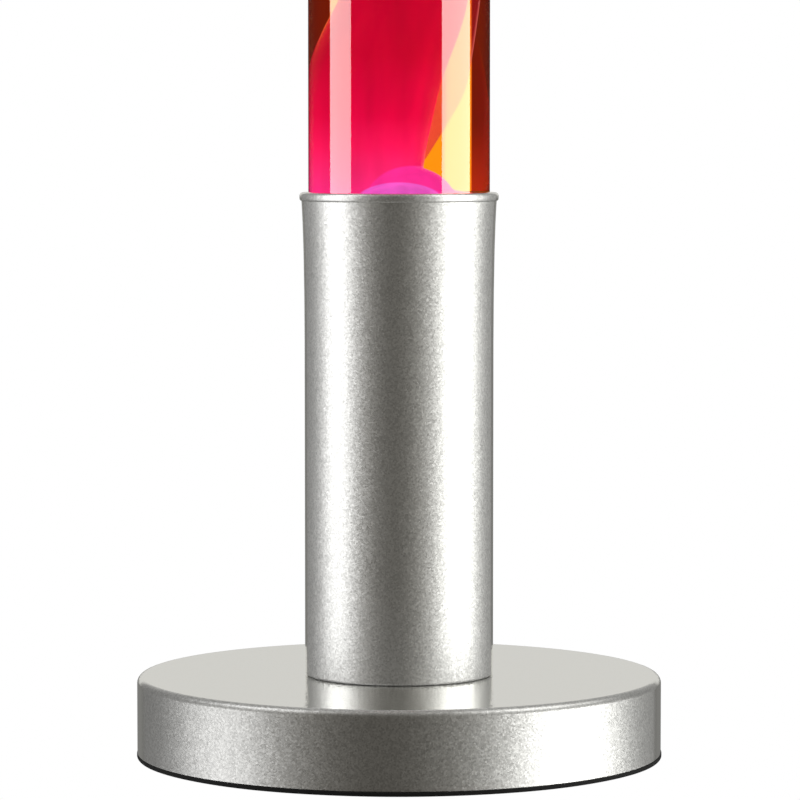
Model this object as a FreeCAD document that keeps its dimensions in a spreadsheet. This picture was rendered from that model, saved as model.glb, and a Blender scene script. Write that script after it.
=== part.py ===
"""Giant lava lamp: a spun-metal base and pedestal, a liquid-filled glass bottle and a matching cap.

Millimetres, +Z up. The origin is the middle of the face that stands on the floor, the front
faces -Y and the cord inlet is at the rear, on +Y.
"""
import FreeCAD, Part
import math
import os
import re

import Sketcher

Vector = FreeCAD.Vector
doc = FreeCAD.newDocument("GiantLavaLamp")

# Driving dimensions
SIZES = {
    # Whole lamp
    "lamp_height": 760,
    "base_diameter": 225,
    "base_height": 35,
    "rim_height": 242,
    "cap_height": 108,
    # Clearances between pieces
    "bottle_gap": 0.65,
    "fit_gap": 0.2,
    "run_gap": 0.3,
    "fill_gap": 0.3,
    # Glass bottle and its closure
    "glass_diameter": 77.5,
    "glass_wall": 2.5,
    "seat_depth": 38,
    "heel_radius": 8,
    "punt_diameter": 50,
    "punt_height": 5,
    "shoulder_rise": 10,
    "shoulder_radius": 15,
    "neck_diameter": 32,
    "neck_height": 28,
    "liner_thickness": 1.5,
    "closure_wall": 0.6,
    "closure_skirt": 16,
    # Wax and heating coil inside the bottle
    "pool_drop": 6,
    "pool_crown": 9,
    "coil_wire": 2,
    "coil_gap": 1,
    "coil_turns": 2,
    "coil_inner_diameter": 52,
    # Weighted base
    "pad_thickness": 1.8,
    "base_wall": 1.2,
    "base_edge": 3,
    "cover_thickness": 1.2,
    "ballast_gap": 0.4,
    "ballast_hole": 34,
    "wire_hole": 18,
    "cover_screw_count": 4,
    "cover_screw_circle": 190,
    "cover_screw_diameter": 4,
    "cover_screw_head": 8,
    "cover_screw_head_height": 1.5,
    "cover_screw_length": 14,
    # Cord inlet at the rear
    "cord_height": 11.5,
    "cord_bore": 7.2,
    "grommet_groove": 12,
    "grommet_flange": 16,
    "grommet_lip": 2,
    "channel_margin": 2,
    # Bolts that clamp the pedestal to the base
    "bolt_count": 4,
    "bolt_circle": 50,
    "bolt_diameter": 6,
    "bolt_clearance": 0.3,
    "bolt_head_width": 10,
    "bolt_head_height": 4,
    "bolt_tip": 2,
    "nut_height": 5,
    "washer_diameter": 12,
    "washer_thickness": 1.6,
    "bolt_grip": 18.8,
    "counterbore_margin": 1.5,
    # Pedestal tube, shared by the cap
    "tube_wall": 1,
    "bead_diameter": 3.2,
    "flare_height": 40,
    "foot_flange": 9,
    "foot_bend": 1.2,
    "plate_thickness": 2.5,
    "cap_edge": 4,
    "cap_ring_wall": 2,
    "cap_ring_floor": 3,
    "cap_ring_height": 14,
    # Seat that carries the bottle
    "seat_bore": 54,
    "seat_wall": 1,
    "seat_skirt": 12,
    "gasket_thickness": 2,
    "gasket_diameter": 72,
    # Bracket and lampholder
    "bracket_width": 18,
    "bracket_thickness": 1.5,
    "bracket_span": 26,
    "bracket_foot": 10,
    "bracket_height": 14,
    "foot_screw_diameter": 4,
    "foot_screw_head": 7,
    "foot_screw_head_height": 2.4,
    "nipple_diameter": 10,
    "nipple_bore": 7.4,
    "nipple_tip": 0.8,
    "nipple_nut_width": 14,
    "nipple_nut_height": 3,
    "holder_diameter": 40,
    "holder_height": 50,
    "holder_wall": 2.2,
    "holder_round": 6,
    "holder_chamfer": 1.2,
    "holder_throat": 30,
    "dome_height": 17,
    "dome_bore": 28,
    "insert_rise": 10,
    "insert_height": 8,
    "screw_shell_wall": 0.5,
    "screw_shell_height": 25,
    "screw_shell_floor_bore": 18,
    "contact_rise": 2.6,
    "contact_width": 6,
    "contact_reach": 7,
    "contact_leaf": 0.6,
    # Terminal block and leads
    "block_length": 14,
    "block_width": 16,
    "block_height": 12,
    "block_offset": 24,
    "pole_pitch": 8,
    "pole_bore": 3.6,
    "terminal_screw_diameter": 3,
    "terminal_screw_depth": 1,
    "lead_diameter": 2,
    "lead_spread": 3.4,
    "lead_bend": 4,
    "lead_height": 4.5,
    # Reflector bulb with a 27 mm screw cap
    "bulb_diameter": 63,
    "bulb_length": 102,
    "bulb_shoulder": 77,
    "bulb_neck_diameter": 24.4,
    "bulb_wall": 0.8,
    "bulb_neck_foot": 16,
    "screw_cap_diameter": 26.2,
    "screw_cap_top": 26,
    "screw_cap_wall": 0.5,
    "screw_cap_collar": 1,
    "tip_diameter": 9,
    "tip_height": 1.4,
    "insulator_diameter": 16,
    "insulator_height": 2.2,
}

sheet = doc.addObject("Spreadsheet::Sheet", "Sizes")
for row, (alias, value) in enumerate(SIZES.items(), start=1):
    sheet.set(f"A{row}", alias)
    sheet.set(f"B{row}", str(value))
    sheet.setAlias(f"B{row}", alias)
doc.recompute()

# Places that several pieces share, as expressions on the driving dimensions
BASE = "(base_diameter / 2)"
SHELL_BORE = f"({BASE} - base_wall)"
COVER_TOP = "(pad_thickness + cover_thickness)"
BALLAST_TOP = "(base_height - base_wall)"
BOLT_SEAT = f"({BALLAST_TOP} - bolt_grip)"
BOLT_HOLE = "(bolt_diameter + 2 * bolt_clearance)"
GLASS = "(glass_diameter / 2)"
BORE = f"({GLASS} + bottle_gap)"
TUBE = f"({BORE} + tube_wall)"
BEAD = f"({BORE} + bead_diameter / 2)"
BEAD_SIDE = "(sqrt(bead_diameter ^ 2 - tube_wall ^ 2) / 2)"
FLARE = "(rim_height - bead_diameter - flare_height)"
CAP_RIM = "(lamp_height - cap_height)"
CAP_FLARE = f"({CAP_RIM} + bead_diameter + flare_height)"
BOTTLE = "(rim_height - seat_depth)"
SHOULDER = f"({CAP_RIM} + shoulder_rise)"
NECK = "(neck_diameter / 2)"
NECK_FILLET = f"({GLASS} - shoulder_radius - {NECK})"
NECK_FOOT = f"({SHOULDER} + shoulder_radius + {NECK_FILLET})"
BOTTLE_TOP = f"({NECK_FOOT} + neck_height)"
CAVITY = f"({GLASS} - glass_wall)"
SEAT = f"({BOTTLE} - gasket_thickness)"
PLATE_TOP = "(base_height + tube_wall + plate_thickness)"
PLATFORM = f"({PLATE_TOP} + bracket_height)"
HOLDER = "(holder_diameter / 2)"
INSERT_LOW = f"({PLATFORM} + insert_rise)"
INSERT_TOP = f"({INSERT_LOW} + insert_height)"
BULB_TIP = f"({INSERT_TOP} + contact_rise + run_gap)"
BULB_FACE = f"({BULB_TIP} + bulb_length)"

nodes = {}


def cells(text):
    """The expression with every size's name pointing at its cell."""
    return re.sub(r"[a-z][a-z_]*", lambda word: f"Sizes.{word[0]}" if word[0] in SIZES else word[0], text)


def size(text):
    """What an expression on the sizes comes to, in millimetres."""
    return float(sheet.evalExpression(cells(text).replace("Sizes.", "")))


def bind(thing, **properties):
    """Tie properties of a document object to the sizes; a double underscore stands for a dot."""
    for name, text in properties.items():
        thing.setExpression(name.replace("__", "."), cells(text))
    return thing


def keep(label, thing):
    """Give a finished piece its name and put it on the list of pieces."""
    thing.Label = label
    nodes[label] = thing
    return thing


# Sketch outlines: each corner is (across, up), or an arc that ends at a corner
def arc(across, up, turn, centre_across=None, centre_up=None):
    """The side that ends at this corner is an arc, +1 anticlockwise, with one centre coordinate given."""
    return {"corner": (across, up), "turn": turn, "across": centre_across, "up": centre_up}


def arc_centre(start, end, across, up):
    """The centre of an arc through two points, from the one coordinate that is known."""
    if up is not None:
        rise = (start.y - up) ** 2 - (end.y - up) ** 2
        return Vector((start.x ** 2 - end.x ** 2 + rise) / (2 * (start.x - end.x)), up, 0)
    run = (start.x - across) ** 2 - (end.x - across) ** 2
    return Vector(across, (start.y ** 2 - end.y ** 2 + run) / (2 * (start.y - end.y)), 0)


def pin_coordinate(sketch, kind, geometry, point, text):
    """Hold one coordinate of a point at an expression, or on the axis where that is 0."""
    if text == "0":
        axis = -2 if kind == "DistanceX" else -1
        sketch.addConstraint(Sketcher.Constraint("PointOnObject", geometry, point, axis))
        return
    index = sketch.addConstraint(Sketcher.Constraint(kind, -1, 1, geometry, point, size(text)))
    name = f"{kind[-1].lower()}{geometry}_{point}"
    sketch.renameConstraint(index, name)
    sketch.setExpression(f"Constraints.{name}", cells(text))


def draw_outline(sketch, corners):
    """Draw a closed outline whose corners and arc centres are all bound to the sizes."""
    sides = [corner if isinstance(corner, dict) else {"corner": corner, "turn": 0} for corner in corners]
    points = [Vector(size(side["corner"][0]), size(side["corner"][1]), 0) for side in sides]
    ends = []
    for index, side in enumerate(sides):
        start, end = points[index - 1], points[index]
        if not side["turn"]:
            sketch.addGeometry(Part.LineSegment(start, end), False)
            ends.append((1, 2))
            continue
        across, up = side["across"], side["up"]
        centre = arc_centre(start, end, across and size(across), up and size(up))
        if side["turn"] < 0:
            start, end = end, start
        first = math.atan2(start.y - centre.y, start.x - centre.x)
        last = math.atan2(end.y - centre.y, end.x - centre.x)
        if last < first:
            last += 2 * math.pi
        circle = Part.Circle(centre, Vector(0, 0, 1), (start - centre).Length)
        sketch.addGeometry(Part.ArcOfCircle(circle, first, last), False)
        ends.append((1, 2) if side["turn"] > 0 else (2, 1))
    for index in range(len(sides)):
        after = (index + 1) % len(sides)
        sketch.addConstraint(Sketcher.Constraint("Coincident", index, ends[index][1], after, ends[after][0]))
    for index, side in enumerate(sides):
        pin_coordinate(sketch, "DistanceX", index, ends[index][1], side["corner"][0])
        pin_coordinate(sketch, "DistanceY", index, ends[index][1], side["corner"][1])
        if side["turn"] and side["up"] is not None:
            pin_coordinate(sketch, "DistanceY", index, 3, side["up"])
        elif side["turn"]:
            pin_coordinate(sketch, "DistanceX", index, 3, side["across"])


def draw_circle(sketch, across, up, diameter):
    """Draw a circle whose centre and diameter are bound to the sizes."""
    middle = Vector(size(across), size(up), 0)
    index = sketch.addGeometry(Part.Circle(middle, Vector(0, 0, 1), size(diameter) / 2), False)
    pin_coordinate(sketch, "DistanceX", index, 3, across)
    pin_coordinate(sketch, "DistanceY", index, 3, up)
    width = sketch.addConstraint(Sketcher.Constraint("Diameter", index, size(diameter)))
    sketch.renameConstraint(width, f"width{index}")
    sketch.setExpression(f"Constraints.width{index}", cells(diameter))


def sketch_on(body, plane, height=None):
    """A sketch on one of the body's own planes, raised along its normal by an expression."""
    sketch = body.newObject("Sketcher::SketchObject", "Sketch")
    role = [feature for feature in body.Origin.OriginFeatures if feature.Role == plane][0]
    sketch.AttachmentSupport = [(role, "")]
    sketch.MapMode = "FlatFace"
    if height is not None:
        bind(sketch, AttachmentOffset__Base__z=height)
    return sketch


def turned_form(*corners):
    """A body turned about Z from an outline of (radius, height) corners."""
    body = doc.addObject("PartDesign::Body", "Body")
    sketch = sketch_on(body, "XZ_Plane")
    draw_outline(sketch, corners)
    revolution = body.newObject("PartDesign::Revolution", "Revolution")
    revolution.Profile = sketch
    revolution.ReferenceAxis = (sketch, ["V_Axis"])
    revolution.Angle = 360
    doc.recompute()
    return body


def turned(label, *corners):
    """A finished piece turned about Z from an outline of (radius, height) corners."""
    return keep(label, turned_form(*corners))


def folded(label, width, *corners):
    """A strip of sheet with this (across, up) outline, running width from front to back."""
    body = doc.addObject("PartDesign::Body", "Body")
    sketch = sketch_on(body, "XZ_Plane")
    draw_outline(sketch, corners)
    pad = body.newObject("PartDesign::Pad", "Pad")
    pad.Profile = sketch
    pad.Midplane = True
    bind(pad, Length=width)
    doc.recompute()
    return keep(label, body)


def cut_down(body, height, depth, across, up, diameter, count=None):
    """Cut a round hole downwards from a height, and repeat it round Z where a count is given."""
    before = body.Shape.Volume
    sketch = sketch_on(body, "XY_Plane", height)
    draw_circle(sketch, across, up, diameter)
    pocket = body.newObject("PartDesign::Pocket", "Pocket")
    pocket.Profile = sketch
    bind(pocket, Length=depth)
    doc.recompute()
    if count is not None:
        pattern = body.newObject("PartDesign::PolarPattern", "PolarPattern")
        pattern.Originals = [pocket]
        pattern.Axis = (sketch, ["N_Axis"])
        pattern.Angle = 360
        bind(pattern, Occurrences=count)
        body.Tip = pattern
        doc.recompute()
    assert body.Shape.Volume < before, f"{body.Label}: the hole cut nothing"


def cut_back(body, draw):
    """Cut from the middle plane through everything behind it, with the outline that draw makes."""
    before = body.Shape.Volume
    sketch = sketch_on(body, "XZ_Plane")
    draw(sketch)
    pocket = body.newObject("PartDesign::Pocket", "Pocket")
    pocket.Profile = sketch
    pocket.Type = "ThroughAll"
    doc.recompute()
    assert body.Shape.Volume < before, f"{body.Label}: the rear cut removed nothing"


def cylinder(diameter, height, across="0", along="0", low="0"):
    """An upright cylinder standing on a place given by expressions."""
    thing = doc.addObject("Part::Cylinder", "Cylinder")
    bind(thing, Radius=f"({diameter}) / 2", Height=height)
    return bind(thing, Placement__Base__x=across, Placement__Base__y=along, Placement__Base__z=low)


def hexagon(width, height, across="0", along="0", low="0"):
    """An upright hexagonal prism of this width across its flats."""
    thing = doc.addObject("Part::Prism", "Prism")
    thing.Polygon = 6
    bind(thing, Circumradius=f"({width}) / 2 / cos(30 deg)", Height=height)
    return bind(thing, Placement__Base__x=across, Placement__Base__y=along, Placement__Base__z=low)


def fused(*things):
    """Several overlapping solids joined into one."""
    fusion = doc.addObject("Part::MultiFuse", "Fusion")
    fusion.Shapes = list(things)
    return fusion


def bored(base, tool):
    """One solid with another cut out of it."""
    cut = doc.addObject("Part::Cut", "Cut")
    cut.Base = base
    cut.Tool = tool
    return cut


def group(label, things):
    """Identical pieces kept together as one node of separate solids."""
    compound = doc.addObject("Part::Compound", "Compound")
    compound.Links = list(things)
    doc.recompute()
    return keep(label, compound)


def round_z(circle, count, turn="0"):
    """The (across, along) expressions of places spread evenly round Z on a circle."""
    for index in range(SIZES[count]):
        angle = f"(360 / {count} * {index} + {turn}) * 1 deg"
        yield f"{circle} / 2 * cos({angle})", f"{circle} / 2 * sin({angle})"


# Floor pad, cover, shell and ballast of the base
def base_pad():
    body = turned("base_pad", ("0", "0"), (BASE, "0"), (BASE, "pad_thickness"), ("0", "pad_thickness"))
    cut_down(body, "pad_thickness", "pad_thickness", "cover_screw_circle / 2", "0",
             "cover_screw_head + 2 * channel_margin", "cover_screw_count")


def base_cover():
    rim = f"{SHELL_BORE} - run_gap"
    body = turned(
        "base_cover", ("0", "pad_thickness"), (rim, "pad_thickness"), (rim, COVER_TOP), ("0", COVER_TOP))
    cut_down(body, COVER_TOP, "cover_thickness", "cover_screw_circle / 2", "0",
             "cover_screw_diameter + 2 * fit_gap", "cover_screw_count")


def cover_screws():
    low = "pad_thickness - cover_screw_head_height"
    screws = []
    for across, along in round_z("cover_screw_circle", "cover_screw_count"):
        head = cylinder("cover_screw_head", "cover_screw_head_height", across, along, low)
        shank = cylinder(
            "cover_screw_diameter", "cover_screw_head_height + cover_screw_length", across, along, low)
        screws.append(fused(head, shank))
    group("cover_screws", screws)


def base_shell():
    edge = f"{BASE} - base_edge"
    body = turned(
        "base_shell",
        ("wire_hole / 2", BALLAST_TOP),
        (edge, BALLAST_TOP),
        arc(SHELL_BORE, "base_height - base_edge", -1, centre_across=edge),
        (SHELL_BORE, "pad_thickness"),
        (BASE, "pad_thickness"),
        (BASE, "base_height - base_edge"),
        arc(edge, "base_height", 1, centre_across=edge),
        ("wire_hole / 2", "base_height"))
    cut_down(body, "base_height", "2 * base_wall", "bolt_circle / 2 * cos(45 deg)",
             "bolt_circle / 2 * sin(45 deg)", BOLT_HOLE, "bolt_count")
    cut_back(body, lambda sketch: draw_circle(sketch, "0", "cord_height", "grommet_groove + 2 * fit_gap"))


def ballast():
    rim = f"({SHELL_BORE} - ballast_gap)"
    body = turned(
        "ballast",
        ("ballast_hole / 2", COVER_TOP),
        (rim, COVER_TOP),
        (rim, f"{BALLAST_TOP} - base_edge"),
        (f"{rim} - base_edge", BALLAST_TOP),
        ("ballast_hole / 2", BALLAST_TOP))
    place = ("bolt_circle / 2 * cos(45 deg)", "bolt_circle / 2 * sin(45 deg)")
    cut_down(body, BALLAST_TOP, BALLAST_TOP, *place, BOLT_HOLE, "bolt_count")
    cut_down(body, BOLT_SEAT, BOLT_SEAT, *place, "washer_diameter + 2 * counterbore_margin", "bolt_count")
    cut_down(body, f"{COVER_TOP} + cover_screw_length", "cover_screw_length + cover_thickness",
             "cover_screw_circle / 2", "0", "cover_screw_diameter + 2 * fit_gap", "cover_screw_count")
    side = "(grommet_flange / 2 + channel_margin)"
    roof = f"cord_height + {side}"
    cut_back(body, lambda sketch: draw_outline(
        sketch, [(f"-{side}", "0"), (side, "0"), (side, roof), (f"-{side}", roof)]))


def cord_grommet():
    """A rubber grommet turned about the cord, then laid along +Y in the shell's rear wall."""
    sag = f"({BASE} - sqrt({BASE} ^ 2 - (grommet_flange / 2) ^ 2) + run_gap)"
    outer = f"(grommet_lip + base_wall + {sag})"
    bore, groove, flange = "cord_bore / 2", "grommet_groove / 2", "grommet_flange / 2"
    body = turned(
        "cord_grommet",
        (bore, "0"),
        (flange, "0"),
        (flange, "grommet_lip"),
        (groove, "grommet_lip"),
        (groove, outer),
        (flange, outer),
        arc(f"{flange} - grommet_lip", f"{outer} + grommet_lip", 1, centre_across=f"{flange} - grommet_lip"),
        (bore, f"{outer} + grommet_lip"))
    body.Placement = FreeCAD.Placement(Vector(), FreeCAD.Rotation(Vector(1, 0, 0), -90))
    bind(body, Placement__Base__y=f"{BASE} - {outer}", Placement__Base__z="cord_height")


# Bolts that clamp the pedestal's foot between the plate and the base
def clamp_bolts():
    bolts, washers, nuts = [], [], []
    head_low = f"{BOLT_SEAT} - washer_thickness - bolt_head_height"
    nut_top = f"{PLATE_TOP} + nut_height"
    for across, along in round_z("bolt_circle", "bolt_count", "45"):
        head = hexagon("bolt_head_width", "bolt_head_height", across, along, head_low)
        shank = cylinder("bolt_diameter", f"{nut_top} + bolt_tip - ({head_low})", across, along, head_low)
        bolts.append(fused(head, shank))
        washer_low = f"{BOLT_SEAT} - washer_thickness"
        washer = cylinder("washer_diameter", "washer_thickness", across, along, washer_low)
        hole = cylinder(BOLT_HOLE, "washer_thickness", across, along, washer_low)
        washers.append(bored(washer, hole))
        nut = hexagon("bolt_head_width", "nut_height", across, along, PLATE_TOP)
        thread = cylinder("bolt_diameter + fit_gap", "nut_height", across, along, PLATE_TOP)
        nuts.append(bored(nut, thread))
    group("clamp_bolts", bolts)
    group("clamp_washers", washers)
    group("clamp_nuts", nuts)


def clamp_plate():
    rim, low = f"{BORE} - fit_gap", "base_height + tube_wall"
    body = turned(
        "clamp_plate", ("wire_hole / 2", low), (rim, low), (rim, PLATE_TOP), ("wire_hole / 2", PLATE_TOP))
    cut_down(body, PLATE_TOP, "plate_thickness", "bolt_circle / 2 * cos(45 deg)",
             "bolt_circle / 2 * sin(45 deg)", BOLT_HOLE, "bolt_count")
    for side in ("", "-"):
        cut_down(body, PLATE_TOP, "plate_thickness", f"{side}(bracket_span + bracket_foot) / 2", "0",
                 "foot_screw_diameter + 2 * fit_gap")


# Pedestal tube with its turned-in foot, flared mouth and rolled rim
def pedestal_tube():
    joint = f"rim_height - bead_diameter / 2 - {BEAD_SIDE}"
    turned(
        "pedestal_tube",
        (f"{BORE} - foot_flange", "base_height"),
        (f"{TUBE} - foot_bend", "base_height"),
        arc(TUBE, "base_height + foot_bend", 1, centre_across=f"{TUBE} - foot_bend"),
        (TUBE, FLARE),
        arc(f"{BEAD} + tube_wall / 2", joint, -1, centre_up=FLARE),
        arc(f"{BEAD} - tube_wall / 2", joint, 1, centre_up="rim_height - bead_diameter / 2"),
        arc(BORE, FLARE, 1, centre_up=FLARE),
        (BORE, "base_height + tube_wall"),
        (f"{BORE} - foot_flange", "base_height + tube_wall"))


# Ledge and gasket that carry the bottle inside the pedestal
def bottle_seat():
    rim = f"{BORE} - fit_gap"
    turned(
        "seat_ring",
        ("seat_bore / 2", f"{SEAT} - seat_wall"),
        (f"{rim} - seat_wall", f"{SEAT} - seat_wall"),
        (f"{rim} - seat_wall", f"{SEAT} - seat_skirt"),
        (rim, f"{SEAT} - seat_skirt"),
        (rim, SEAT),
        ("seat_bore / 2", SEAT))
    turned(
        "seat_gasket",
        ("seat_bore / 2", SEAT),
        ("gasket_diameter / 2", SEAT),
        ("gasket_diameter / 2", BOTTLE),
        ("seat_bore / 2", BOTTLE))


# Bracket, nipple and lampholder under the bulb
def socket_bracket():
    side, foot = "(bracket_span / 2)", "(bracket_span / 2 + bracket_foot)"
    inner = f"({side} - bracket_thickness)"
    tread, under = f"{PLATE_TOP} + bracket_thickness", f"{PLATFORM} - bracket_thickness"
    body = folded(
        "socket_bracket", "bracket_width",
        (f"-{foot}", PLATE_TOP), (f"-{inner}", PLATE_TOP), (f"-{inner}", under), (inner, under),
        (inner, PLATE_TOP), (foot, PLATE_TOP), (foot, tread), (side, tread), (side, PLATFORM),
        (f"-{side}", PLATFORM), (f"-{side}", tread), (f"-{foot}", tread))
    cut_down(body, PLATFORM, "bracket_thickness", "0", "0", "nipple_diameter + 2 * fit_gap")
    for sign in ("", "-"):
        cut_down(body, tread, "bracket_thickness", f"{sign}(bracket_span + bracket_foot) / 2", "0",
                 "foot_screw_diameter + 2 * fit_gap")
    screws = []
    for sign in ("", "-"):
        across = f"{sign}(bracket_span + bracket_foot) / 2"
        head = cylinder("foot_screw_head", "foot_screw_head_height", across, "0", tread)
        low = "(base_height + run_gap)"
        shank = cylinder(
            "foot_screw_diameter", f"{tread} - {low} + foot_screw_head_height", across, "0", low)
        screws.append(fused(head, shank))
    group("bracket_screws", screws)


def nipple():
    low = f"({PLATFORM} - bracket_thickness - nipple_nut_height - nipple_tip)"
    top = f"({PLATFORM} + holder_wall + nipple_nut_height + nipple_tip)"
    bore, rim = "nipple_bore / 2", "nipple_diameter / 2"
    turned("threaded_nipple", (bore, low), (rim, low), (rim, top), (bore, top))
    nuts = []
    for seat in (f"{low} + nipple_tip", f"{PLATFORM} + holder_wall"):
        nut = hexagon("nipple_nut_width", "nipple_nut_height", low=seat)
        nuts.append(bored(nut, cylinder("nipple_diameter + fit_gap", "nipple_nut_height", low=seat)))
    group("nipple_nuts", nuts)


def lampholder():
    split = f"{PLATFORM} + dome_height"
    inside, hole = f"{HOLDER} - holder_wall", "nipple_diameter / 2 + fit_gap"
    turned(
        "holder_dome",
        (hole, PLATFORM),
        (f"{HOLDER} - holder_round", PLATFORM),
        arc(HOLDER, f"{PLATFORM} + holder_round", 1, centre_across=f"{HOLDER} - holder_round"),
        (HOLDER, split),
        (inside, split),
        (inside, INSERT_LOW),
        ("dome_bore / 2", INSERT_LOW),
        ("dome_bore / 2", f"{PLATFORM} + holder_wall"),
        (hole, f"{PLATFORM} + holder_wall"))
    mouth = f"{PLATFORM} + holder_height"
    turned(
        "holder_sleeve",
        (inside, split),
        (HOLDER, split),
        (HOLDER, f"{mouth} - holder_chamfer"),
        (f"{HOLDER} - holder_chamfer", mouth),
        ("holder_throat / 2", mouth),
        ("holder_throat / 2", f"{INSERT_TOP} + screw_shell_wall"),
        (inside, f"{INSERT_TOP} + screw_shell_wall"))
    rim = f"{inside} - fit_gap"
    turned(
        "porcelain_insert",
        ("0", INSERT_LOW), (rim, INSERT_LOW), (rim, INSERT_TOP), ("0", INSERT_TOP))
    thread = "(screw_cap_diameter / 2 + run_gap)"
    outer = f"({thread} + screw_shell_wall)"
    turned(
        "screw_shell",
        ("screw_shell_floor_bore / 2", INSERT_TOP),
        (outer, INSERT_TOP),
        (outer, f"{INSERT_TOP} + screw_shell_height"),
        (thread, f"{INSERT_TOP} + screw_shell_height"),
        (thread, f"{INSERT_TOP} + screw_shell_wall"),
        ("screw_shell_floor_bore / 2", f"{INSERT_TOP} + screw_shell_wall"))


def contact_leaf():
    """A sprung leaf: a foot on the insert, a ramp, and a flat that meets the bulb's tip."""
    top = f"{INSERT_TOP} + contact_rise"
    folded(
        "contact_leaf", "contact_width",
        ("-contact_reach", INSERT_TOP),
        ("-contact_reach / 2", INSERT_TOP),
        ("0", f"{top} - contact_leaf"),
        ("contact_reach / 2", f"{top} - contact_leaf"),
        ("contact_reach / 2", top),
        ("-contact_leaf / 2", top),
        ("-contact_reach / 2 - contact_leaf / 2", f"{INSERT_TOP} + contact_leaf"),
        ("-contact_reach", f"{INSERT_TOP} + contact_leaf"))


def terminal_block():
    block = doc.addObject("Part::Box", "Block")
    bind(block, Length="block_width", Width="block_length", Height="block_height",
         Placement__Base__x="-block_width / 2", Placement__Base__y="block_offset - block_length / 2",
         Placement__Base__z=PLATE_TOP)
    tools, screws = [], []
    screw_low = f"{PLATE_TOP} + lead_height + pole_bore / 2"
    for sign in ("", "-"):
        across = f"{sign}pole_pitch / 2"
        way = cylinder("pole_bore", "block_length", across, "block_offset + block_length / 2",
                       f"{PLATE_TOP} + lead_height")
        rotation = FreeCAD.Rotation(Vector(1, 0, 0), 90)
        way.Placement = FreeCAD.Placement(way.Placement.Base, rotation)
        tools.append(way)
        tools.append(cylinder("terminal_screw_diameter + 2 * fit_gap", "block_height", across, "block_offset",
                              f"{PLATE_TOP} + lead_height"))
        screws.append(cylinder("terminal_screw_diameter",
                               f"{PLATE_TOP} + block_height - terminal_screw_depth - ({screw_low})",
                               across, "block_offset", screw_low))
    keep("terminal_block", bored(block, fused(*tools)))
    group("terminal_screws", screws)


def bent_tube(points, diameter, bend):
    """A round tube along straight runs joined by one tangent arc at each inner point."""
    edges, start = [], points[0]
    for before, corner, after in zip(points, points[1:], points[2:]):
        back, on = (before - corner).normalize(), (after - corner).normalize()
        half = back.getAngle(on) / 2
        inset = bend / math.tan(half)
        middle = (back + on).normalize() * (bend / math.sin(half) - bend)
        edges.append(Part.LineSegment(start, corner + back * inset).toShape())
        edges.append(Part.Arc(corner + back * inset, corner + middle, corner + on * inset).toShape())
        start = corner + on * inset
    edges.append(Part.LineSegment(start, points[-1]).toShape())
    wire = Part.Wire(edges)
    section = Part.Wire(Part.Circle(points[0], points[1] - points[0], diameter / 2).toShape())
    return wire.makePipeShell([section], True, False)


def leads():
    """Two leads from the terminal block, under the bracket and up the nipple to the insert."""
    height = size(f"{PLATE_TOP} + lead_height")
    face = size("block_offset - block_length / 2")
    for label, sign in (("live_lead", 1), ("neutral_lead", -1)):
        points = [
            Vector(sign * size("pole_pitch / 2"), face, height),
            Vector(sign * size("lead_spread / 2"), 0, height),
            Vector(sign * size("lead_spread / 2"), 0, size(INSERT_LOW))]
        lead = doc.addObject("Part::Feature", "Lead")
        lead.Shape = bent_tube(points, size("lead_diameter"), size("lead_bend"))
        keep(label, lead)


# Reflector bulb, whose side turns from hollow to full this share of the way up
BULB_BEND = 0.34


def bulb():
    neck, wide = "(bulb_neck_diameter / 2)", "(bulb_diameter / 2)"
    waist, brow = f"({BULB_TIP} + screw_cap_top)", f"({BULB_TIP} + bulb_shoulder)"
    turn = (f"{neck} + {BULB_BEND} * ({wide} - {neck})", f"{waist} + {BULB_BEND} * ({brow} - {waist})")
    foot = f"{BULB_TIP} + bulb_neck_foot"
    turned(
        "bulb_envelope",
        (neck, foot),
        (neck, waist),
        arc(*turn, -1, centre_up=waist),
        arc(wide, brow, 1, centre_up=brow),
        arc("0", BULB_FACE, 1, centre_across="0"),
        ("0", f"{BULB_FACE} - bulb_wall"),
        arc(f"{wide} - bulb_wall", brow, -1, centre_across="0"),
        arc(f"{turn[0]} - bulb_wall", turn[1], -1, centre_up=brow),
        arc(f"{neck} - bulb_wall", waist, 1, centre_up=waist),
        (f"{neck} - bulb_wall", foot))
    cap, ring = "(screw_cap_diameter / 2)", "(insulator_diameter / 2)"
    chin = f"({BULB_TIP} + tip_height + insulator_height)"
    cheek = f"({chin} + ({cap} - {ring}) / 2)"
    top = f"({BULB_TIP} + screw_cap_top)"
    turned(
        "bulb_screw_cap",
        (ring, f"{chin} - screw_cap_wall"),
        (cap, f"{cheek} - screw_cap_wall"),
        (cap, f"{top} - 2 * screw_cap_collar"),
        (f"{cap} + screw_cap_collar", top),
        (f"{cap} + screw_cap_collar - screw_cap_wall", top),
        (f"{cap} - screw_cap_wall", f"{top} - 2 * screw_cap_collar"),
        (f"{cap} - screw_cap_wall", cheek),
        (ring, chin))
    turned(
        "bulb_insulator",
        ("0", f"{BULB_TIP} + tip_height"),
        ("tip_diameter / 2", f"{BULB_TIP} + tip_height"),
        (ring, f"{chin} - screw_cap_wall"),
        (ring, chin),
        ("0", chin))
    turned(
        "bulb_tip",
        ("0", BULB_TIP),
        arc("tip_diameter / 2", f"{BULB_TIP} + tip_height", 1, centre_across="0"),
        ("0", f"{BULB_TIP} + tip_height"))


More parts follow.
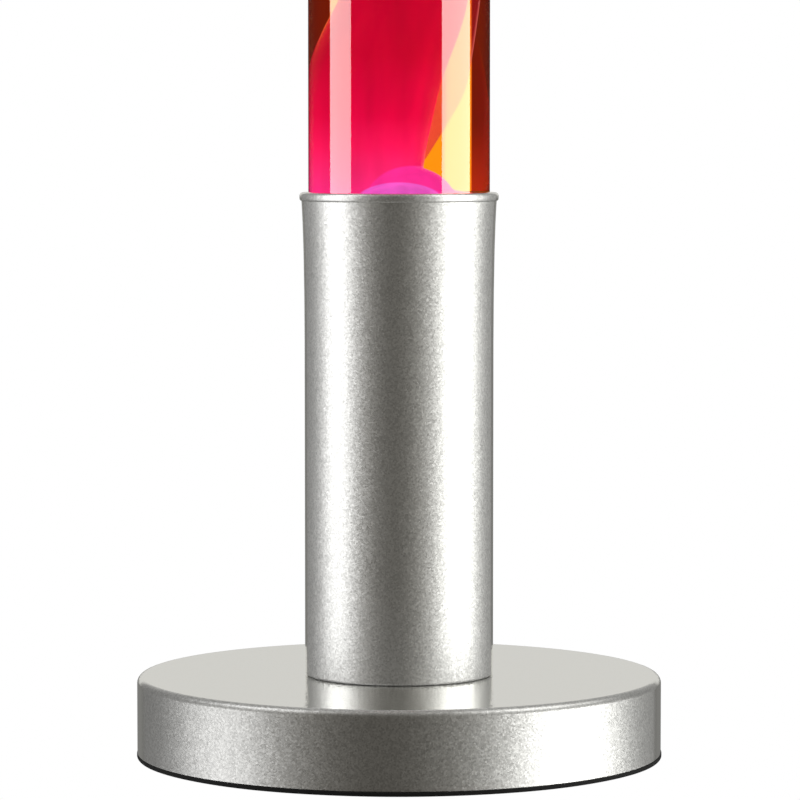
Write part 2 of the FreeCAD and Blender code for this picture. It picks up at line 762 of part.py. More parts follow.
# Glass bottle with a punt, a round shoulder and a neck, and its pressed closure
def glass_bottle():
    heel, crest = f"({GLASS} - heel_radius)", f"({GLASS} - shoulder_radius)"
    punt = "(punt_diameter / 2)"
    turned(
        "glass_bottle",
        ("0", f"{BOTTLE} + punt_height"),
        arc(punt, BOTTLE, -1, centre_across="0"),
        (heel, BOTTLE),
        arc(GLASS, f"{BOTTLE} + heel_radius", 1, centre_across=heel),
        (GLASS, SHOULDER),
        arc(crest, f"{SHOULDER} + shoulder_radius", 1, centre_across=crest),
        arc(NECK, NECK_FOOT, -1, centre_across=crest),
        (NECK, BOTTLE_TOP),
        (f"{NECK} - glass_wall", BOTTLE_TOP),
        (f"{NECK} - glass_wall", NECK_FOOT),
        arc(crest, f"{SHOULDER} + shoulder_radius - glass_wall", 1, centre_across=crest),
        arc(CAVITY, SHOULDER, -1, centre_across=crest),
        (CAVITY, f"{BOTTLE} + heel_radius"),
        arc(heel, f"{BOTTLE} + glass_wall", -1, centre_across=heel),
        (punt, f"{BOTTLE} + glass_wall"),
        arc("0", f"{BOTTLE} + punt_height + glass_wall", 1, centre_across="0"))


def bottle_closure():
    top = f"({BOTTLE_TOP} + liner_thickness)"
    turned("closure_liner", ("0", BOTTLE_TOP), (NECK, BOTTLE_TOP), (NECK, top), ("0", top))
    inside = f"({NECK} + fit_gap)"
    outside = f"({inside} + closure_wall)"
    turned(
        "bottle_closure",
        ("0", top),
        (inside, top),
        (inside, f"{top} - closure_skirt"),
        (outside, f"{top} - closure_skirt"),
        (outside, top),
        arc(inside, f"{top} + closure_wall", 1, centre_across=inside),
        ("0", f"{top} + closure_wall"))


# Wire coil on the bottle's floor, wound from half turns whose centres alternate
def heating_coil():
    wire, step = size("coil_wire"), size("coil_wire + coil_gap") / 2
    height = size(f"{BOTTLE} + glass_wall + fill_gap + coil_wire / 2")
    edges, radius = [], size("coil_inner_diameter / 2")
    start = Vector(radius, 0, height)
    for half_turn in range(int(2 * size("coil_turns"))):
        side = 1 if half_turn % 2 == 0 else -1
        centre = Vector(0 if side > 0 else step, 0, height)
        end = centre - Vector(side * radius, 0, 0)
        edges.append(Part.Arc(start, centre + Vector(0, side * radius, 0), end).toShape())
        start = end
        radius += step
    section = Part.Wire(Part.Circle(edges[0].Vertexes[0].Point, Vector(0, 1, 0), wire / 2).toShape())
    coil = doc.addObject("Part::Feature", "Coil")
    coil.Shape = Part.Wire(edges).makePipeShell([section], True, False)
    print("coil: least gap between turns", round(2 * step - wire, 3), "mm")
    keep("heating_coil", coil)


# Wax: a pool on the coil, two lumps on it, and a column that leans across the bottle
# How far the pool's floor reaches out over the inside of the heel, as a share of its radius
HEEL_REACH = 0.8
# Column stations: height above the rim in mm, then the offsets and radius as shares of the cavity
COLUMN = (
    (-8, -0.34, 0.06, 0.54),
    (12, -0.34, 0.06, 0.53),
    (32, -0.27, 0.06, 0.55),
    (52, -0.20, 0.05, 0.56),
    (74, -0.01, 0.03, 0.55),
    (100, 0.16, -0.02, 0.48),
    (130, 0.21, -0.06, 0.38),
    (160, 0.14, -0.04, 0.33),
    (186, 0.00, 0.02, 0.42),
    (206, -0.08, 0.05, 0.52),
    (224, -0.11, 0.05, 0.44),
    (236, -0.12, 0.05, 0.20))
# Lumps on the pool and free blobs: offsets as shares of the cavity, then the height of the middle
# above the rim, the width and the height in mm
LUMPS = ((0.07, -0.11, -4.4, 31.4, 31.4), (0.014, -0.33, -8.4, 35, 26))
BLOBS = {"wax_blob": (0.10, -0.06, 312, 38, 50), "wax_drop": (-0.56, 0.05, 148, 19, 24)}


def wax_column(grow):
    """The leaning column, lofted through round stations and swollen by grow all round."""
    rings = []
    for rise, across, along, share in COLUMN:
        ring = doc.addObject("Part::Circle", "Ring")
        bind(ring, Radius=f"{share} * {CAVITY} + {grow}", Placement__Base__x=f"{across} * {CAVITY}",
             Placement__Base__y=f"{along} * {CAVITY}", Placement__Base__z=f"rim_height + {rise}")
        rings.append(ring)
    bind(rings[-1], Placement__Base__z=f"rim_height + {COLUMN[-1][0]} + {grow}")
    loft = doc.addObject("Part::Loft", "Column")
    loft.Sections = rings
    loft.Solid = True
    return loft


def wax_egg(across, along, rise, width, height, grow):
    """A rounded piece of wax: an upright ellipsoid swollen by grow all round."""
    egg = doc.addObject("Part::Ellipsoid", "Egg")
    egg.Angle1, egg.Angle2, egg.Angle3 = -90, 90, 360
    return bind(egg, Radius1=f"{height} / 2 + {grow}", Radius2=f"{width} / 2 + {grow}",
                Radius3=f"{width} / 2 + {grow}", Placement__Base__x=f"{across} * {CAVITY}",
                Placement__Base__y=f"{along} * {CAVITY}", Placement__Base__z=f"rim_height + {rise}")


def wax_mass(grow):
    """The pool with its crown, the lumps and the column as one mass, swollen by grow all round."""
    wall = f"({CAVITY} - fill_gap + {grow})"
    brim, punt = f"(rim_height - pool_drop + {grow})", "(punt_diameter / 2)"
    floor = f"({BOTTLE} + punt_height + glass_wall + fill_gap)"
    over_coil = f"({BOTTLE} + glass_wall + 2 * fill_gap + coil_wire)"
    pool = turned_form(
        ("0", floor),
        (punt, floor),
        (punt, over_coil),
        (f"{GLASS} - heel_radius + {HEEL_REACH} * (heel_radius - glass_wall) - fill_gap", over_coil),
        (wall, f"{BOTTLE} + heel_radius"),
        (wall, brim),
        arc("0", f"{brim} + pool_crown", 1, centre_across="0"))
    return fused(pool, wax_column(grow), *[wax_egg(*lump, grow) for lump in LUMPS])


def wax_and_liquid():
    """The wax in its pieces, and the liquid that fills the bottle round them."""
    hollow = fused(wax_mass("fill_gap"), *[wax_egg(*blob, "fill_gap") for blob in BLOBS.values()])
    keep("wax_mass", wax_mass("0"))
    for name, blob in BLOBS.items():
        keep(name, wax_egg(*blob, "0"))
    low, wall = "rim_height - pool_drop", f"{CAVITY} - fill_gap"
    column = turned_form(("0", low), (wall, low), (wall, SHOULDER), ("0", SHOULDER))
    keep("liquid", bored(column, hollow))


# Cap that matches the pedestal, with the ring that rests on the bottle's shoulder
def cap():
    top, rim = "lamp_height", f"({TUBE} - cap_edge)"
    joint = f"{CAP_RIM} + bead_diameter / 2 + {BEAD_SIDE}"
    turned(
        "cap_shell",
        ("0", f"{top} - tube_wall"),
        (rim, f"{top} - tube_wall"),
        arc(BORE, f"{top} - cap_edge", -1, centre_across=rim),
        (BORE, CAP_FLARE),
        arc(f"{BEAD} - tube_wall / 2", joint, 1, centre_up=CAP_FLARE),
        arc(f"{BEAD} + tube_wall / 2", joint, 1, centre_up=f"{CAP_RIM} + bead_diameter / 2"),
        arc(TUBE, CAP_FLARE, -1, centre_up=CAP_FLARE),
        (TUBE, f"{top} - cap_edge"),
        arc(rim, top, 1, centre_across=rim),
        ("0", top))
    low, outside = f"({SHOULDER} + shoulder_radius + run_gap)", f"({BORE} - fit_gap)"
    hole = f"{GLASS} - shoulder_radius + run_gap"
    turned(
        "cap_ring",
        (hole, low),
        (outside, low),
        (outside, f"{low} + cap_ring_height"),
        (f"{outside} - cap_ring_wall", f"{low} + cap_ring_height"),
        (f"{outside} - cap_ring_wall", f"{low} + cap_ring_floor"),
        (hole, f"{low} + cap_ring_floor"))


for make in (base_pad, base_cover, cover_screws, base_shell, ballast, cord_grommet, clamp_bolts,
             clamp_plate, pedestal_tube, bottle_seat, socket_bracket, nipple, lampholder, contact_leaf,
             terminal_block, leads, bulb, glass_bottle, bottle_closure, heating_coil, wax_and_liquid, cap):
    make()
doc.recompute()

# Every feature has to be sound before anything is written
faults = [thing.Name for thing in doc.Objects if {"Invalid", "Error"} & set(thing.State)]
faults += [label for label, thing in nodes.items() if thing.Shape.isNull() or not thing.Shape.isValid()]
assert not faults, f"unsound: {faults}"

os.makedirs("parts", exist_ok=True)
for label, thing in nodes.items():
    thing.Shape.exportStep(f"parts/{label}.step")
print(len(nodes), "pieces")
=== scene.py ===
# %% [markdown]
# # A giant lava lamp
# The lamp is a weighted round foot, a slim pedestal of spun metal, a tall glass bottle of liquid and wax,
# and a cap to match the pedestal. Its exact solids come first, as a frame that nothing here may move.
# Each piece that is modelled below rides on one of its moving bodies, and all but one stand for a solid.

import math

import bmesh
import bpy
from mathutils import Matrix, Vector


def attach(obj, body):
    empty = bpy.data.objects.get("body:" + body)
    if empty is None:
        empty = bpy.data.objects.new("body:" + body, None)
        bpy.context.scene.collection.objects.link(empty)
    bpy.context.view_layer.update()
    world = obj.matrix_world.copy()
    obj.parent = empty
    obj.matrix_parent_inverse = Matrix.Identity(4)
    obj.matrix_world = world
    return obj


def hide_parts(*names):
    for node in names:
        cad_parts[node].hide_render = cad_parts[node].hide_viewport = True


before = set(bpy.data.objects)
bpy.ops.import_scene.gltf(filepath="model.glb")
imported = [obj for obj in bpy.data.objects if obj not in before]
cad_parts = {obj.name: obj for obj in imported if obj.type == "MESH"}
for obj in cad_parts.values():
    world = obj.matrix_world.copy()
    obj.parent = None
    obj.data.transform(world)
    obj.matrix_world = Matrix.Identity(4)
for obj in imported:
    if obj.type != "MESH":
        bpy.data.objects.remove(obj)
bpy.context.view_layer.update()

# %% [markdown]
# ## Camera
# A product photograph like this is taken from well back with a long lens, so the lamp's sides hardly
# converge. The lens and place below come from fitting the outline of the base, the tube and the rim.
# The plain view transform keeps a white background white and lets the pinks stay fully saturated.

# %% Camera
CAMERA_LENS, SENSOR, CAMERA_TILT = 185.27, 36, 3.85
CAMERA_PLACE = (0.0004, -1.760, 0.2715)

scene = bpy.context.scene
scene.view_settings.view_transform = "Standard"

camera = bpy.data.objects.new("photo_camera", bpy.data.cameras.new("photo_camera"))
camera.data.lens = CAMERA_LENS
camera.data.sensor_width = SENSOR
camera.location = CAMERA_PLACE
camera.rotation_euler = (math.radians(90 - CAMERA_TILT), 0, 0)
scene.collection.objects.link(camera)
scene.camera = camera
print("camera looks down by", CAMERA_TILT, "degrees from", CAMERA_PLACE)

# %% [markdown]
# ## Shader maths in plain Python
# A finish is easier to read as a sum than as a web of nodes. This small class wraps one output socket:
# arithmetic on it adds the Math nodes, and its one method adds any other node, settings first.


# %% A socket that can be calculated with
class Wire:
    """One output socket of a node tree, which arithmetic and node() build upon."""

    def __init__(self, tree, socket=None):
        self.tree, self.socket = tree, socket

    def node(self, kind, settings=None, sockets=None, output=0):
        """Add a node: its settings, then a value or a link for each socket, by name or number."""
        made = self.tree.nodes.new(kind)
        for name, value in (settings or {}).items():
            if name == "stops":
                set_stops(made.color_ramp, value)
            else:
                setattr(made, name, value)
        for name, value in (sockets or {}).items():
            connect(self.tree, made.inputs[name], value)
        return Wire(self.tree, made.outputs[output])

    def math(self, operation, first, second=0.0):
        return self.node("ShaderNodeMath", {"operation": operation}, {0: first, 1: second})

    def __add__(self, other):
        return self.math("ADD", self, other)

    __radd__ = __add__

    def __sub__(self, other):
        return self.math("SUBTRACT", self, other)

    def __rsub__(self, other):
        return self.math("SUBTRACT", other, self)

    def __mul__(self, other):
        return self.math("MULTIPLY", self, other)

    __rmul__ = __mul__

    def __truediv__(self, other):
        return self.math("DIVIDE", self, other)

    def __rtruediv__(self, other):
        return self.math("DIVIDE", other, self)


def connect(tree, socket, value):
    """Link a wire to a socket, or set a plain value on it."""
    if isinstance(value, Wire):
        tree.links.new(value.socket, socket)
    else:
        socket.default_value = value


def set_stops(ramp, stops):
    """Give a colour ramp these (position, colour) stops."""
    while len(ramp.elements) < len(stops):
        ramp.elements.new(1.0)
    for element, (position, colour) in zip(ramp.elements, stops):
        element.position = position
        element.color = (*colour, 1.0)


# %% [markdown]
# ## Building blocks for the finishes
# Each finish is a function that returns the shader's sockets by name. These helpers give it the place
# on the piece, even noise, a mix of two colours, and a mask that rises between two values.


# %% Finish helpers
def finish(name, look):
    """A material whose Principled shader has the sockets that look returns."""
    material = bpy.data.materials.new(name)
    material.use_nodes = True
    tree = material.node_tree
    shader = tree.nodes["Principled BSDF"]
    for socket, value in look(Wire(tree)).items():
        connect(tree, shader.inputs[socket], value)
    print("finish:", name)
    return material


def place(start):
    return start.node("ShaderNodeTexCoord", output="Object")


def noise(start, where, size_mm, detail=2.0):
    """Soft noise from 0 to 1 whose features are about size_mm across."""
    sockets = {"Vector": where, "Scale": 1000 / size_mm, "Detail": detail}
    return start.node("ShaderNodeTexNoise", sockets=sockets)


def blend(start, factor, first, second):
    """One colour turning into another as factor goes from 0 to 1."""
    sockets = {0: factor, 6: (*first, 1.0) if isinstance(first, tuple) else first,
               7: (*second, 1.0) if isinstance(second, tuple) else second}
    return start.node("ShaderNodeMix", {"data_type": "RGBA"}, sockets, output=2)


def rising(start, value, low, high):
    """0 below low, 1 above high and smooth between."""
    sockets = {"Value": value, "From Min": low, "From Max": high}
    return start.node("ShaderNodeMapRange", {"interpolation_type": "SMOOTHSTEP"}, sockets)


def axis(start, where, name):
    return start.node("ShaderNodeSeparateXYZ", sockets={0: where}, output=name)


def distance(start, where, middle=(0, 0, 0), weights=(1, 1, 1)):
    """How far a place is from a middle, in millimetres, with each axis given its own weight."""
    offset = start.node("ShaderNodeVectorMath", {"operation": "SUBTRACT"},
                        {0: where, 1: tuple(value / 1000 for value in middle)})
    weighted = start.node("ShaderNodeVectorMath", {"operation": "MULTIPLY"}, {0: offset, 1: weights})
    return start.node("ShaderNodeVectorMath", {"operation": "LENGTH"}, {0: weighted}, output="Value") * 1000


def bumps(start, height, depth_mm, strength=1.0):
    """A Normal roughened by a height map."""
    sockets = {"Height": height, "Distance": depth_mm / 1000, "Strength": strength}
    return start.node("ShaderNodeBump", sockets=sockets)


# %% [markdown]
# ## Studio
# The photograph has a white background, a tall soft box on each side and a dark room in front. Both boxes
# show as the bright bands on the metal and as pale strips on the glass, so their angles matter most. They
# are area lights that neither the camera nor a ray through the glass can see. The metal also mirrors what
# lies a little downwards, and there a table would show each box again, so a second light hangs under each.
# The base has boxes of its own, with a gap at the height where its flat top would mirror them and burn out.

# %% Soft boxes
BOX_DISTANCE = 1.0
LEFT_BOX, RIGHT_BOX = (-96, -62.2), (54.8, 99.6)
UPRIGHT, MIRRORED, RAISED = (-0.03, 2.0), (-0.60, -0.03), (0.70, 2.0)
COOL, WARM = (1.0, 1.0, 0.99), (1.0, 1.0, 0.96)


def soft_box(name, angles, heights, radiance, tint):
    """An area light between two angles from the camera's direction and two heights."""
    (start, end), (low, high) = angles, heights
    middle = math.radians((start + end) / 2)
    half = math.radians((end - start) / 2)
    light = bpy.data.lights.new(name, "AREA")
    light.shape = "RECTANGLE"
    light.size = 2 * BOX_DISTANCE * math.tan(half)
    light.size_y = high - low
    light.color = tint
    light.energy = radiance * math.pi * light.size * light.size_y
    holder = bpy.data.objects.new(name, light)
    outwards = Vector((math.sin(middle), -math.cos(middle), 0))
    holder.location = outwards * BOX_DISTANCE + Vector((0, 0, (low + high) / 2))
    holder.rotation_euler = (-outwards).to_track_quat("-Z", "Y").to_euler()
    holder.visible_camera = holder.visible_transmission = False
    scene.collection.objects.link(holder)
    print(name, "is", round(light.size, 2), "m wide,", round(light.energy, 1), "W")
    return holder


main_boxes = [soft_box("soft_box_left", LEFT_BOX, UPRIGHT, 2.75, COOL),
              soft_box("soft_box_right", RIGHT_BOX, UPRIGHT, 3.2, WARM)]
low_boxes = [soft_box("left_box_mirrored", LEFT_BOX, MIRRORED, 1.5, COOL),
             soft_box("right_box_mirrored", RIGHT_BOX, MIRRORED, 2.5, WARM)]
base_boxes = [soft_box("base_low_left", LEFT_BOX, MIRRORED, 2.45, COOL),
              soft_box("base_low_right", RIGHT_BOX, MIRRORED, 5.2, WARM),
              soft_box("base_high_left", LEFT_BOX, RAISED, 2.75, COOL),
              soft_box("base_high_right", RIGHT_BOX, RAISED, 3.2, WARM)]

# %% [markdown]
# The room is a sky of its own, written on a ray's direction: how far it turns from straight behind the
# lamp, and how far it rises. The rough metal finds dim walls, lighter at the corners and almost dark in
# front, and a bright sheet behind the lamp, above the horizon.

# %% Room round the metal
FRONT_WALL, CORNER, SIDE_WALL, SHEET = 0.05, 0.50, 0.20, 0.655
WALLS_TURN = 7.0
# Where each part begins and ends, in degrees of turn or in rise
CORNER_TURNS, FRONT_TURNS, SHEET_TURNS, HORIZON = (70, 110), (120, 165), (17, 33), (-0.06, 0.06)

scene.world = bpy.data.worlds.new("studio")
scene.world.use_nodes = True
room = Wire(scene.world.node_tree)
direction = room.node("ShaderNodeTexCoord", output="Generated")
across, along, rise = (axis(room, direction, name) for name in "XYZ")
turn = room.math("ARCTAN2", across, along) * math.degrees(1)
off_walls = room.math("ABSOLUTE", turn - WALLS_TURN)
in_front = rising(room, off_walls, *FRONT_TURNS)
walls = SIDE_WALL + (CORNER - SIDE_WALL) * rising(room, off_walls, *CORNER_TURNS)
walls = walls + (FRONT_WALL - CORNER) * in_front
sheet = (1 - rising(room, room.math("ABSOLUTE", turn), *SHEET_TURNS)) * rising(room, rise, *HORIZON)
round_metal = walls + (SHEET - SIDE_WALL) * sheet
print("room: the metal finds walls of", SIDE_WALL, "to", CORNER, "and a sheet of", SHEET)

# %% [markdown]
# Light that comes through the bottle finds a sheet too, a dim wall beside it and a white table below. The
# sheet is brighter on its left, which the bottle turns round and shows as yellow on its right. Behind the
# camera the room is lit again, so that the liquid glows from every side. One strip there stays dim: a round
# bottle, like a raindrop with its rainbow, throws light from about 150 degrees round into its dark edges.

# %% Room behind the glass
WALL_BEHIND_GLASS, WALL_FOOT, SHEET_BEHIND_GLASS, DARK_ROOM = 0.18, 0.36, 1.2, 0.012
GLASS_SHEET_TURN, GLASS_SHEET_HALF, SHEET_BLUR, SHEET_BRIGHT_SIDE = -1.52, 32.87, 1.2, 0.6
BRIGHT_TURNS, LIT_TURNS, STRIP_STARTS, STRIP_ENDS = (16.5, 18.5), (92, 100), (138, 143), (155, 160)
TABLE_EDGE, FOOT_EDGE = (-0.12, -0.05), (-0.02, 0.003)

off_sheet = room.math("ABSOLUTE", turn - GLASS_SHEET_TURN)
dim_strip = rising(room, off_sheet, *STRIP_STARTS) * (1 - rising(room, off_sheet, *STRIP_ENDS))
lit_again = rising(room, off_sheet, *LIT_TURNS) * (1 - dim_strip)
beside = rising(room, off_sheet, GLASS_SHEET_HALF - SHEET_BLUR, GLASS_SHEET_HALF + SHEET_BLUR)
wall_share = (beside - lit_again) * rising(room, rise, *TABLE_EDGE)
bright_side = rising(room, 0 - turn, *BRIGHT_TURNS) * (1 - lit_again)
sheet_light = SHEET_BEHIND_GLASS * (1 + SHEET_BRIGHT_SIDE * bright_side)
wall_light = WALL_BEHIND_GLASS + WALL_FOOT * (1 - rising(room, rise, *FOOT_EDGE))
through = room.node("ShaderNodeLightPath", output="Is Transmission Ray")
behind_glass = DARK_ROOM + through * (sheet_light + (wall_light - sheet_light) * wall_share)
print("room: through the glass the sheet is", 2 * GLASS_SHEET_HALF, "degrees wide")

# %% [markdown]
# What the room shows depends on the ray. The camera sees plain white. Only the smooth glass sends out
# perfectly sharp rays: those that it mirrors find the dark, so that only the soft boxes show on the bottle,
# and those that come through take the light above. All others belong to the metal. The room's paper is a
# little warm, its front more so, and the dim wall behind the glass is rose.

# %% Light of the room
WHITE, PAPER = (1.0, 1.0, 1.0), (1.0, 0.99, 0.95)
FRONT_TINT, WALL_TINT = (1.0, 0.88, 0.66), (1.0, 0.18, 0.6)

sharp = room.node("ShaderNodeLightPath", output="Is Singular Ray")
seen = room.node("ShaderNodeLightPath", output="Is Camera Ray")
brightness = room.math("MAXIMUM", seen, sharp * behind_glass + (1 - sharp) * round_metal)
plain = blend(room, seen, blend(room, in_front, PAPER, FRONT_TINT), WHITE)
tint = blend(room, sharp * through * wall_share, plain, WALL_TINT)
background = scene.world.node_tree.nodes["Background"]
connect(scene.world.node_tree, background.inputs["Strength"], brightness)
connect(scene.world.node_tree, background.inputs["Color"], tint)
print("room:", len(scene.world.node_tree.nodes), "nodes")

# %% [markdown]
# The floor is plain and pale. It is left out of reflections in metal and glass, because the lamp in the
# photograph mirrors a dark room there and not a white field.

# %% Floor
FLOOR_HALF, FLOOR_DROP = 6.0, 0.0004

floor_shape = bmesh.new()
bmesh.ops.create_grid(floor_shape, x_segments=1, y_segments=1, size=FLOOR_HALF)
floor_mesh = bpy.data.meshes.new("floor")
floor_shape.to_mesh(floor_mesh)
floor = bpy.data.objects.new("floor", floor_mesh)
floor.location.z = -FLOOR_DROP
floor.visible_glossy = floor.visible_transmission = floor.visible_shadow = floor.visible_diffuse = False
floor_mesh.materials.append(finish("pale_floor", lambda start: {
    "Base Color": (0.0, 0.0, 0.0, 1.0), "Specular IOR Level": 0.0, "Roughness": 1.0,
    "Emission Color": (1.0, 1.0, 1.0, 1.0), "Emission Strength": 1.0}))
scene.collection.objects.link(floor)
print("floor:", 2 * FLOOR_HALF, "m wide")

# %% [markdown]
# ## Turning pieces on a lathe
# Most of this lamp is round about one axis: spun metal, blown glass, turned fittings. So the main tool is
# a lathe. A piece starts as a few corners in the XZ plane, bevel rounds the corners of that wire, and a
# full spin sweeps it into a closed skin. Corners are (radius, height, rounding) in millimetres.

# %% Lathe
MM = 0.001
SAME_POINT = 0.001 * MM
STEPS_ROUND, STEPS_CORNER = 192, 7


def outline(corners, closed=True):
    """A wire in the XZ plane with its corners rounded."""
    shape = bmesh.new()
    points = [shape.verts.new((corner[0] * MM, 0, corner[1] * MM)) for corner in corners]
    for first, second in zip(points, points[1:] + points[:1] if closed else points[1:]):
        shape.edges.new((first, second))
    for point, corner in zip(points, corners):
        if len(corner) > 2:
            bmesh.ops.bevel(shape, geom=[point], offset=corner[2] * MM, offset_type="OFFSET",
                            affect="VERTICES", segments=STEPS_CORNER, profile=0.5, material=-1)
    return shape


def spin(shape, steps=STEPS_ROUND):
    """Sweep a wire once round Z, close its seam and poles, and turn its faces outwards."""
    bmesh.ops.spin(shape, geom=shape.verts[:] + shape.edges[:], cent=(0, 0, 0), axis=(0, 0, 1),
                   dvec=(0, 0, 0), angle=math.tau, steps=steps, use_merge=True)
    bmesh.ops.remove_doubles(shape, verts=shape.verts[:], dist=SAME_POINT)
    bmesh.ops.recalc_face_normals(shape, faces=shape.faces[:])
    return shape


def lathe(corners, closed=True, steps=STEPS_ROUND):
    return spin(outline(corners, closed), steps)


# %% [markdown]
# A finished shape becomes an object at the origin, takes its body and its place in the frame, and
# hides the plain solid that it stands for. Shading is smooth except across real corners. A long straight
# wall beside a small rounding would borrow some of its slope, so the normals are weighted by face area.

# %% Pieces
CORNER_DEGREES, NO_CORNERS = 35, 180


def in_order(items, place_of):
    """Sort points or faces by place, because the order they are made in can vary from run to run."""
    ranks = {item: rank for rank, item in enumerate(sorted(items, key=lambda item: tuple(place_of(item))))}
    items.sort(key=ranks.get)


def as_object(name, shape):
    in_order(shape.verts, lambda vert: vert.co)
    in_order(shape.faces, lambda face: face.calc_center_median())
    mesh = bpy.data.meshes.new(name)
    shape.to_mesh(mesh)
    shape.free()
    thing = bpy.data.objects.new(name, mesh)
    scene.collection.objects.link(thing)
    return thing


def settle(thing):
    """Bake a piece's modifiers into its mesh."""
    graph = bpy.context.evaluated_depsgraph_get()
    mesh = bpy.data.meshes.new_from_object(thing.evaluated_get(graph))
    thing.modifiers.clear()
    thing.data = mesh
    return thing


def piece(thing, body, material, slot, *nodes, sharp_degrees=CORNER_DEGREES):
    """Give a finished object its finish, its body and the solids that it replaces."""
    thing.data.materials.clear()
    thing.data.materials.append(material)
    thing.data.shade_smooth()
    thing.data.set_sharp_from_angle(angle=math.radians(sharp_degrees))
    even = thing.modifiers.new("even", "WEIGHTED_NORMAL")
    even.keep_sharp = True
    settle(thing)
    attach(thing, body)
    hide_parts(*nodes)
    thing.data.calc_loop_triangles()
    print("piece:", thing.name, len(thing.data.loop_triangles), "triangles")


# %% [markdown]
# Holes are cut with closed shapes, most of them cylinders that a matrix puts in place.

# %% Cutting
STEPS_ROD = 48


def cut_away(thing, *cutters):
    """Subtract closed shapes from an object and drop them."""
    for cutter in cutters:
        tool = as_object(thing.name + "_cutter", cutter)
        cut = thing.modifiers.new("cut", "BOOLEAN")
        cut.operation, cut.solver, cut.object = "DIFFERENCE", "EXACT", tool
        settle(thing)
        bpy.data.objects.remove(tool)


def rod(diameter, length, matrix):
    """A closed cylinder in millimetres, put in place by a matrix."""
    shape = bmesh.new()
    radius = diameter / 2 * MM
    bmesh.ops.create_cone(shape, cap_ends=True, segments=STEPS_ROD, radius1=radius, radius2=radius,
                          depth=length * MM, matrix=matrix)
    return shape


def shift(across, along, up):
    return Matrix.Translation(Vector((across, along, up)) * MM)


def quarter_turns(radius, height, first=0):
    """Four places a quarter turn apart, the first of them so many degrees from +X."""
    return [Matrix.Rotation(math.radians(first + 90 * count), 4, "Z") @ shift(radius, 0, height)
            for count in range(4)]


# %% [markdown]
# ## Silver paint
# The metal has a silver flake paint. Flakes are tiny mirrors, each at its own small tilt, which is what
# gives the broad glow and the grain. Cells two thirds of a millimetre wide turn the normal and vary the
# brightness one by one. At a glancing view such paint turns into a mirror, as on top of the base, so there
# the roughness falls. The base's upright side is painted a shade darker than its top, as painted shade.

# %% Silver paint
FLAKES_PER_METRE, FLAKE_TILT = 1500.0, 0.042
BASE_EDGE, GLANCING = (0.031, 0.0345), (0.75, 0.85)
DULL_TOP, BRIGHT_TOP = (0.53, 0.53, 0.527), (0.72, 0.72, 0.716)
DULL_SIDE, BRIGHT_SIDE, MIRROR = (0.44, 0.44, 0.438), (0.62, 0.62, 0.617), (0.92, 0.92, 0.88)


def silver_look(start):
    where = place(start)
    flakes = {"Vector": where, "Scale": FLAKES_PER_METRE}
    cell = start.node("ShaderNodeTexVoronoi", sockets=flakes, output="Color")
    tilt = start.node("ShaderNodeVectorMath", {"operation": "MULTIPLY_ADD"},
                      {0: cell, 1: (2 * FLAKE_TILT,) * 3, 2: (-FLAKE_TILT,) * 3})
    facing = start.node("ShaderNodeNewGeometry", output="Normal")
    flake = start.node("ShaderNodeVectorMath", {"operation": "ADD"}, {0: facing, 1: tilt})
    normal = start.node("ShaderNodeVectorMath", {"operation": "NORMALIZE"}, {0: flake})
    spark = start.node("ShaderNodeTexWhiteNoise", sockets={"Vector": cell}, output="Value")
    # Painted shade: below the base's top edge, the upright side takes a darker copy of the paint.
    shaded_side_or_thin_fold = 1 - rising(start, axis(start, where, "Z"), *BASE_EDGE)
    glancing = rising(start, start.node("ShaderNodeLayerWeight", output="Facing"), *GLANCING)
    paint = blend(start, shaded_side_or_thin_fold, blend(start, spark, DULL_TOP, BRIGHT_TOP),
                  blend(start, spark, DULL_SIDE, BRIGHT_SIDE))
    return {
        "Base Color": blend(start, glancing, paint, MIRROR),
        "Metallic": 1.0,
        "Roughness": 0.43 + 0.03 * noise(start, where, 30) - 0.385 * glancing,
        "Normal": normal}


silver = finish("silver_paint", silver_look)

# %% [markdown]
# ## Weighted base
# The base is a shallow dish pressed from sheet, upside down over its ballast. A lathe gives the dish, and
# four bolt holes under the pedestal and the hole for the cord's grommet are cut out afterwards.

# %% Base shell
BASE_RADIUS, BASE_TOP, BASE_WALL, PAD_TOP = 112.5, 35.0, 1.2, 1.8
STEPS_BASE = 288
WIRE_HOLE, BOLT_HOLE, BOLT_CIRCLE = 9.0, 6.6, 25.0
GROMMET_HOLE, CORD_HEIGHT = 12.4, 11.5

base = as_object("base_dish", lathe([
    (WIRE_HOLE, BASE_TOP - BASE_WALL),
    (BASE_RADIUS - BASE_WALL, BASE_TOP - BASE_WALL, 2.0),
    (BASE_RADIUS - BASE_WALL, PAD_TOP),
    (BASE_RADIUS, PAD_TOP, 0.4),
    (BASE_RADIUS, BASE_TOP, 3.0),
    (WIRE_HOLE, BASE_TOP)], steps=STEPS_BASE))
bolt_holes = [rod(BOLT_HOLE, 4, matrix) for matrix in quarter_turns(BOLT_CIRCLE, BASE_TOP, 45)]
rearwards = shift(0, BASE_RADIUS, CORD_HEIGHT) @ Matrix.Rotation(math.pi / 2, 4, "X")
cut_away(base, rod(GROMMET_HOLE, 8, rearwards), *bolt_holes)
piece(base, "stand", silver, "silver_paint", "base_shell")

# %% [markdown]
# ## Pedestal
# The tube flares a little towards its mouth, faster and faster, where the sheet is rolled outwards into a
# round bead. At the foot it turns inwards, and that flange is clamped to the base. The bead is a square
# outline whose corners are rounded until they almost meet.

# %% Pedestal tube
TUBE_BORE, TUBE_RADIUS, TUBE_WALL = 39.4, 40.4, 1.0
RIM_TOP, BEAD_OUT, FLANGE, SPUN_CORNERS = 242.0, 2.15, 9.0, 50
